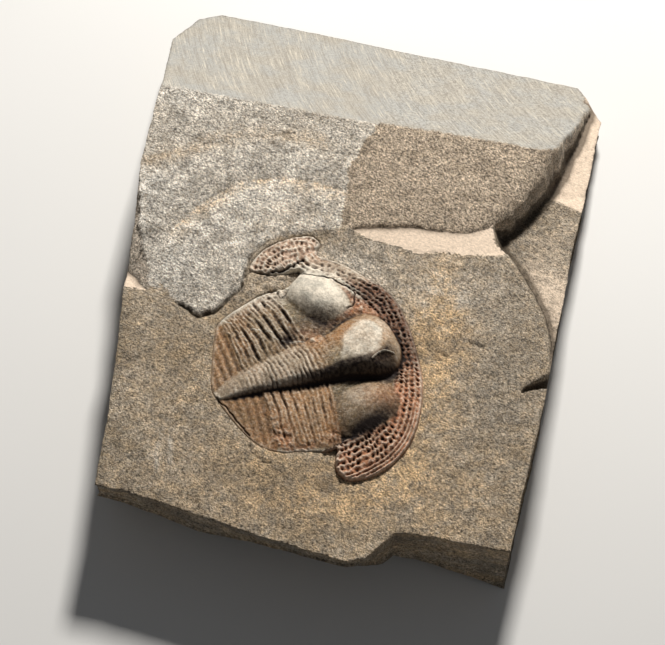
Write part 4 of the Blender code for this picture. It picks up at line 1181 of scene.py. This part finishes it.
def fossil_material(look):
    """Mineralised shell: rusty fringe, tan tail and ribs, grey lobes worn pale on top."""
    material, tree, shader, place = stone_material("fossil shell")
    rust, tan, worn, dark = (mask_of(tree, name) for name in ("rust", "tan", "worn", "dark"))
    cloud = noise(tree, place, 0.35, 4.0, 0.6)
    mottle = noise(tree, place, 1.8, 4.0, 0.68)
    worn_tone = mixed(tree, spread(tree, noise(tree, place, 0.6, 3.0), 0.42, 0.6), look.worn, look.worn_grey)
    colour = mixed(tree, spread(tree, cloud, 0.35, 0.65), look.shell_dark, look.shell_grey)
    for share, tone in (
        (tan, look.tan), (rust, look.rust), (times(tree, spread(tree, mottle, 0.5, 0.72), 0.6), look.ochre),
        (worn, worn_tone),
    ):
        colour = mixed(tree, share, colour, tone)
    grain = place_grain(tree, 3.2, spread(tree, worn, 0.0, 1.0, 0.42, 0.14))
    colour = mixed(tree, 1.0, colour, grain.outputs["Brightness"], "MULTIPLY")
    # dark cracks, and painted shade, in the crevice colour
    colour = mixed(tree, dark, colour, look.crevice_and_shade)
    tree.links.new(colour, shader.inputs["Base Color"])
    tree.links.new(spread(tree, grain.outputs["Height"], 0.3, 0.7, 0.75, 0.5), shader.inputs["Roughness"])
    net = add_node(
        tree, "ShaderNodeTexVoronoi", {"Vector": place, "Scale": NET_CELLS / MM}, feature="DISTANCE_TO_EDGE"
    )
    net_lines = spread(tree, net.outputs["Distance"], 0.0, 0.12, 0.0, 0.25)
    relief = maths(tree, "ADD", grain.outputs["Height"], net_lines)
    bump = add_node(tree, "ShaderNodeBump", {"Height": relief, "Strength": 0.8, "Distance": look.bump_depth})
    tree.links.new(bump.outputs[0], shader.inputs["Normal"])
    return material


def plain_material(name, colour, roughness):
    """The floor: one soft colour with a faint unevenness."""
    material, tree, shader, place = stone_material(name)
    cloud = noise(tree, place, 0.01, 2.0)
    shade = mixed(tree, spread(tree, cloud, 0.3, 0.7), colour, tuple(0.96 * part for part in colour))
    tree.links.new(shade, shader.inputs["Base Color"])
    tree.links.new(spread(tree, cloud, 0.3, 0.7, roughness - 0.05, roughness), shader.inputs["Roughness"])
    return material


# Settings

def colour_property(name, description, screen):
    """A colour setting, its default given as a screen colour."""
    return FloatVectorProperty(
        name=name, description=description, subtype="COLOR", size=3, min=0.0, max=1.0,
        default=linear(*screen),
    )


def length_property(name, description, default, low, high):
    """A length setting, its default and limits given in millimetres."""
    return FloatProperty(
        name=name, description=description, default=default * MM, min=low * MM, max=high * MM,
        unit="LENGTH", precision=6,
    )


class FossilSlabSettings(bpy.types.PropertyGroup):
    """Sizes and colours of the rock."""

    point_spacing: length_property(
        "Point spacing", "Distance between mesh points on the rock", 0.29, 0.1, 2.0,
    )
    wall_rows: IntProperty(
        name="Wall rows", description="Rows of mesh points up the broken sides", default=22, min=4, max=60,
    )
    grain_depth: length_property(
        "Grain depth", "Height of the small bumps on the bedding faces", 0.055, 0.0, 0.5,
    )
    wall_depth: length_property("Side roughness", "How far the broken sides are bitten in", 0.7, 0.0, 3.0)
    bump_depth: length_property("Grain bump", "Depth of the shaded mineral grain", 0.31, 0.0, 1.0)
    saw_centre: FloatVectorProperty(
        name="Saw centre", description="Middle of the curved saw marks", size=3, unit="LENGTH",
        default=(85.0 * MM, 76.0 * MM, 0.0), precision=5,
    )
    rock_dark: colour_property("Rock, dark", "Darker parts of the fossil bed", (143, 130, 112))
    rock_light: colour_property("Rock, light", "Lighter parts of the fossil bed", (174, 160, 141))
    rock_warm: colour_property("Rock, warm", "Ochre grains in the beds", (197, 171, 136))
    rock_grey: colour_property("Rock, grey", "Greyer patches of every bed", (138, 131, 120))
    upper_bed: colour_property("Upper bed", "The paler, greyer upper bed", (243, 235, 222))
    coarse_bed: colour_property("Coarse bed", "The brown, coarser break of the upper bed", (177, 161, 142))
    stain: colour_property("Stain", "Iron stain round the fossil", (216, 184, 142))
    fresh: colour_property("Fresh break", "Cream, powdery fresh breaks", (213, 193, 171))
    sawn: colour_property("Sawn face", "The pale sawn face", (160, 154, 143))
    sawn_cool: colour_property("Sawn face, cool", "Cooler grey parts of the sawn face", (158, 156, 150))
    saw_mark: colour_property("Saw marks", "Light scratches of the saw", (206, 197, 180))
    # The crevice colour is painted shade: in the hollows, on the sides and broken riser, and as a painted
    # shadow on the ledge.
    crevice_and_shade: colour_property("Crevice", "Dirt in the hollows", (62, 52, 40))


class FossilShellSettings(bpy.types.PropertyGroup):
    """Sizes and colours of the fossil."""

    point_spacing: length_property(
        "Point spacing", "Distance between mesh points on the fossil", 0.105, 0.05, 1.0,
    )
    bump_depth: length_property("Grain bump", "Depth of the shaded grain on the shell", 0.10, 0.0, 1.0)
    shell_dark: colour_property("Shell, dark", "Darker grey-brown shell", (92, 78, 60))
    shell_grey: colour_property("Shell, grey", "Olive-grey shell of the lobes and upper ribs", (134, 120, 94))
    tan: colour_property("Tan", "Orange-brown tail and lower ribs", (162, 120, 80))
    rust: colour_property("Rust", "Red-brown pitted fringe", (186, 122, 84))
    ochre: colour_property("Ochre", "Ochre mottling", (180, 146, 100))
    worn_grey: colour_property("Worn, grey", "Greyer parts of the worn tops", (196, 188, 172))
    worn: colour_property("Worn", "Pale worn tops", (234, 222, 202))
    # This colour is also painted shade in the hollows, down the ridge's near side and on the cheeks' lower
    # flanks.
    crevice_and_shade: colour_property("Crevice", "Dark filling of pits and furrows", (34, 24, 20))


class FossilStageSettings(bpy.types.PropertyGroup):
    """Floor, lights and camera."""

    floor_colour: colour_property("Floor", "The plain pale floor", (226, 224, 220))
    key_power: FloatProperty(
        name="Key light", description="Power of the soft key light", default=1.72, min=0.0, unit="POWER",
    )
    fill_power: FloatProperty(
        name="Fill light", description="Power of the weak fill light", default=0.12, min=0.0, unit="POWER",
    )
    sky: FloatProperty(name="Sky", description="Strength of the even grey surround", default=0.10, min=0.0)
    lens: FloatProperty(
        name="Lens", description="Focal length on a 36 mm wide sensor", default=150.0, min=10.0,
        unit="CAMERA",
    )
    azimuth: FloatProperty(
        name="Azimuth", description="How far the camera is turned round the slab",
        default=math.radians(9.4), subtype="ANGLE",
    )
    elevation: FloatProperty(
        name="Elevation", description="Height of the camera's view above the horizon",
        default=math.radians(65.0), subtype="ANGLE",
    )
    distance: FloatProperty(
        name="Distance", description="From the camera to the middle of the picture",
        default=395.83 * MM, min=0.05, unit="LENGTH",
    )
    aim: FloatVectorProperty(
        name="Aim", description="Middle of the picture on the fossil face", size=3, unit="LENGTH",
        default=(-0.7 * MM, -10.5 * MM, 15.0 * MM), precision=5,
    )


# Steps of the slab's mesh

def plan_grid(low, high, step):
    """Places on a regular grid over a rectangle."""
    return np.meshgrid(np.arange(low[0], high[0], step), np.arange(low[1], high[1], step))


def saw_edge(gx, gy, grid_z, step):
    """The line where the sawn face meets the beds."""
    x = np.arange(*SAW_EDGE_X, step)
    y = SAW_NEAR_Y - SAW_SKEW * x
    uncut = np.maximum(grid_z, saw_height(gx, gy))
    for _ in range(6):
        above = sample(uncut, SLAB_LOW, step, x, y - 0.4)
        y = y + np.clip((saw_height(x, y) - above) / SAW_SLOPE, -1.0, 1.0)
    return np.column_stack((x, y))


def break_lines(ring, saw_line, step):
    """The edges that the mesh follows, without what is off the slab or close to its outline."""
    lines = [saw_line]
    for line in (UPPER_LINE, BROKEN_LINE[6:], NOTCH_LINE, COARSE_LINE[:-1]):
        lines.append(resample(line, step, closed=False))
    outline = closed_line(ring)
    return [line[inside(*line.T, ring) & (gap_to(*line.T, outline) > 0.3)] for line in lines]


def slab_points(gx, gy, grid_z, step, ring, pocket, lines):
    """Places for the inner mesh points, shaken off the grid, and only one in three on the sawn face."""
    x, y = gx.ravel(), gy.ravel()
    shake = np.random.default_rng(5).uniform(-0.2 * step, 0.2 * step, (2, x.size))
    x, y = x + shake[0], y + shake[1]
    on_saw = saw_height(x, y) < sample(grid_z, SLAB_LOW, step, x, y) + 0.02
    thinned = (np.arange(x.size) % 3 == 0) | ~on_saw
    kept = inside(x, y, ring) & ~inside(x, y, pocket) & thinned
    return clear_of(np.column_stack((x, y))[kept], [ring, pocket] + lines, 0.55 * step)


def add_pocket(points, faces, pocket, height):
    """Opens the pocket in the slab's top, and gives it walls and a floor."""
    top = points[0]
    centres = np.array([top[face].mean(axis=0) for face in faces])
    in_pocket = inside(centres[:, 0], centres[:, 1], pocket)
    faces[:] = [face for face, sunk in zip(faces, in_pocket) if not sunk]

    def floor(x, y):
        return np.full(x.shape, POCKET_FLOOR)

    add_wall(points, faces, [np.column_stack((pocket, surface(*pocket.T))) for surface in (height, floor)])
    add_plan(points, faces, pocket, [], [], floor, True)


def add_underside(points, faces, ring):
    """Closes the slab below."""
    x, y = plan_grid(UNDERSIDE_LOW, UNDERSIDE_HIGH, UNDERSIDE_SPACING)
    places = np.column_stack((x.ravel(), y.ravel()))
    places = clear_of(places[inside(*places.T, ring)], [ring], 0.5 * UNDERSIDE_SPACING)
    add_plan(points, faces, ring, [], places, slab_underside, False)


# Operators

def placed(context, name, data):
    """A new object in the scene's own collection."""
    made = bpy.data.objects.new(name, data)
    context.scene.collection.objects.link(made)
    return made


class FOSSIL_OT_add_slab(bpy.types.Operator):
    """Builds the slab of rock with its beds, breaks, sawn face and pocket"""

    bl_idname = "fossil.add_slab"
    bl_label = "Add Slab"

    def execute(self, context):
        look = context.scene.fossil_slab
        step, grain = look.point_spacing / MM, look.grain_depth / MM
        ring = jagged(SLAB_OUTLINE, step * 1.2, 0.16, 2.5, 210, closed=True)
        pocket = to_plan(rounded(FOSSIL_MARGIN, 0.3, closed=True))[::-1]
        pocket = pocket + POCKET_GAP * outward_of(pocket, closed=True)

        def height(x, y):
            return slab_surface(x, y, grain)[0]

        gx, gy = plan_grid(SLAB_LOW, SLAB_HIGH, step)
        grid_z = height(gx, gy)
        lines = break_lines(ring, saw_edge(gx, gy, grid_z, step), step)
        inner = slab_points(gx, gy, grid_z, step, ring, pocket, lines)
        points, faces = [], []
        add_plan(points, faces, ring, lines + [closed_line(pocket)], inner, height, True)
        add_pocket(points, faces, pocket, height)
        rim = np.column_stack((ring, height(*ring.T)))
        add_wall(points, faces, side_rings(rim, look.wall_rows, look.wall_depth / MM))
        add_underside(points, faces, ring)

        mesh = welded_mesh("rock_slab", points, faces)
        x, y, z = plan_of(mesh)
        surface_z, masks = slab_surface(x, y, grain)
        on_top = (z > surface_z - 0.05) * 1.0
        masks = {name: values * on_top for name, values in masks.items()}
        tints = {name: values * on_top for name, values in slab_tints(x, y, masks).items()}
        add_side_layers(tints, x, y, z, 1.0 - on_top)
        # hollow: how far each point lies below its surroundings, which the material darkens as painted shade;
        # less on the riser that is painted lighter
        hollow = sample(grid_z - soften(grid_z, HOLLOW_REACH), SLAB_LOW, step, x, y)
        tints["hollow"] = hollow * on_top * (1.0 - 0.55 * riser_painted_light(x, masks))
        add_masks(mesh, tints)
        mesh.materials.append(rock_material(look))
        slab = placed(context, "rock_slab", mesh)
        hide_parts("matrix")
        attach(slab, "root")
        return {"FINISHED"}


class FOSSIL_OT_add_shell(bpy.types.Operator):
    """Builds the trilobite: pitted fringe, lobes, ringed axis, ribs and tail"""

    bl_idname = "fossil.add_shell"
    bl_label = "Add Trilobite"

    def execute(self, context):
        look = context.scene.fossil_shell
        step = look.point_spacing / MM
        outline = rounded(FOSSIL_MARGIN, step * 1.5, closed=True)[::-1]
        outline = outline + 0.10 * outward_of(outline, closed=True)
        low, high = outline.min(axis=0) - 1.0, outline.max(axis=0) + 1.0
        gu, gv = plan_grid(low, high, step)
        heights, masks = fossil_surface(gu, gv)
        tints = fossil_tints(gu, gv, masks, heights - soften(heights, HOLLOW_REACH))

        def top(u, v):
            return FOSSIL_BED + sample(heights, low, step, u, v)

        def base(u, v):
            return np.full(u.shape, FOSSIL_BASE)

        places = np.column_stack((gu.ravel(), gv.ravel()))
        inner = clear_of(places[inside(*places.T, outline)], [outline], 0.6 * step)
        points, faces = [], []
        add_plan(points, faces, outline, [], inner, top, True)
        add_wall(points, faces, [np.column_stack((outline, surface(*outline.T))) for surface in (base, top)])
        add_plan(points, faces, outline, [], [], base, False)
        points = [np.column_stack((to_plan(block[:, :2]), block[:, 2])) for block in points]
        mesh = welded_mesh("trilobite_shell", points, faces)
        x, y, _ = plan_of(mesh)
        u, v = to_fossil(x, y)
        add_masks(mesh, {name: sample(values, low, step, u, v) for name, values in tints.items()})
        mesh.materials.append(fossil_material(look))
        shell = placed(context, "trilobite_shell", mesh)
        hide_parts("trilobite")
        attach(shell, "root")
        return {"FINISHED"}


def add_light(context, name, place, aim, size, power, colour):
    """A square soft light that faces a point."""
    light = bpy.data.lights.new(name, "AREA")
    light.shape = "SQUARE"
    light.size, light.energy, light.color = size, power, colour
    lamp = placed(context, name, light)
    lamp.location = place
    lamp.rotation_euler = (Vector(aim) - Vector(place)).to_track_quat("-Z", "Y").to_euler()


class FOSSIL_OT_add_stage(bpy.types.Operator):
    """Adds the pale floor, the soft lights and the camera"""

    bl_idname = "fossil.add_stage"
    bl_label = "Add Stage"

    def execute(self, context):
        look = context.scene.fossil_stage
        scene = context.scene
        bpy.ops.mesh.primitive_plane_add(size=4.0, location=(0.0, 0.0, 0.0))
        floor = context.active_object
        floor.name = "floor"
        floor.data.materials.append(plain_material("pale floor", tuple(look.floor_colour), 0.9))

        aim = Vector(look.aim)
        add_light(context, "key", KEY_PLACE, aim, KEY_SIZE, look.key_power, KEY_COLOUR)
        add_light(context, "fill", FILL_PLACE, aim, FILL_SIZE, look.fill_power, FILL_COLOUR)
        world = bpy.data.worlds.new("even surround")
        world.use_nodes = True
        background = world.node_tree.nodes["Background"]
        background.inputs["Color"].default_value = SKY_COLOUR
        background.inputs["Strength"].default_value = look.sky
        scene.world = world
        scene.view_settings.view_transform = "Standard"

        camera = bpy.data.cameras.new("camera")
        camera.lens, camera.sensor_width, camera.sensor_fit = look.lens, SENSOR_WIDTH, "HORIZONTAL"
        camera.clip_start, camera.clip_end = 0.01, 10.0
        towards = Vector((
            math.sin(look.azimuth) * math.cos(look.elevation),
            -math.cos(look.azimuth) * math.cos(look.elevation),
            math.sin(look.elevation),
        ))
        right = Vector((math.cos(look.azimuth), math.sin(look.azimuth), 0.0))
        turn = Matrix((right, towards.cross(right), towards)).transposed().to_4x4()
        viewer = placed(context, "camera", camera)
        viewer.matrix_world = Matrix.Translation(aim + towards * look.distance) @ turn
        scene.camera = viewer
        return {"FINISHED"}


class FOSSIL_PT_slab(bpy.types.Panel):
    """Lists the settings and steps in the sidebar"""

    bl_label = "Trilobite Slab"
    bl_space_type = "VIEW_3D"
    bl_region_type = "UI"
    bl_category = "Fossil"

    def draw(self, context):
        for group, step in (
            ("fossil_slab", FOSSIL_OT_add_slab), ("fossil_shell", FOSSIL_OT_add_shell),
            ("fossil_stage", FOSSIL_OT_add_stage),
        ):
            box = self.layout.box()
            settings = getattr(context.scene, group)
            for name in settings.bl_rna.properties.keys():
                if name not in ("rna_type", "name"):
                    box.prop(settings, name)
            box.operator(step.bl_idname)


SETTINGS = (
    ("fossil_slab", FossilSlabSettings), ("fossil_shell", FossilShellSettings),
    ("fossil_stage", FossilStageSettings),
)
STEPS = (FOSSIL_OT_add_slab, FOSSIL_OT_add_shell, FOSSIL_OT_add_stage)


def register():
    """Adds the settings, steps and panel to Blender."""
    for name, group in SETTINGS:
        bpy.utils.register_class(group)
        setattr(bpy.types.Scene, name, PointerProperty(type=group))
    for step in STEPS:
        bpy.utils.register_class(step)
    bpy.utils.register_class(FOSSIL_PT_slab)


def unregister():
    """Takes them out again."""
    bpy.utils.unregister_class(FOSSIL_PT_slab)
    for step in reversed(STEPS):
        bpy.utils.unregister_class(step)
    for name, group in reversed(SETTINGS):
        delattr(bpy.types.Scene, name)
        bpy.utils.unregister_class(group)


def main():
    """Builds everything."""
    register()
    bpy.ops.fossil.add_slab()
    bpy.ops.fossil.add_shell()
    bpy.ops.fossil.add_stage()


if __name__ == "__main__":
    main()
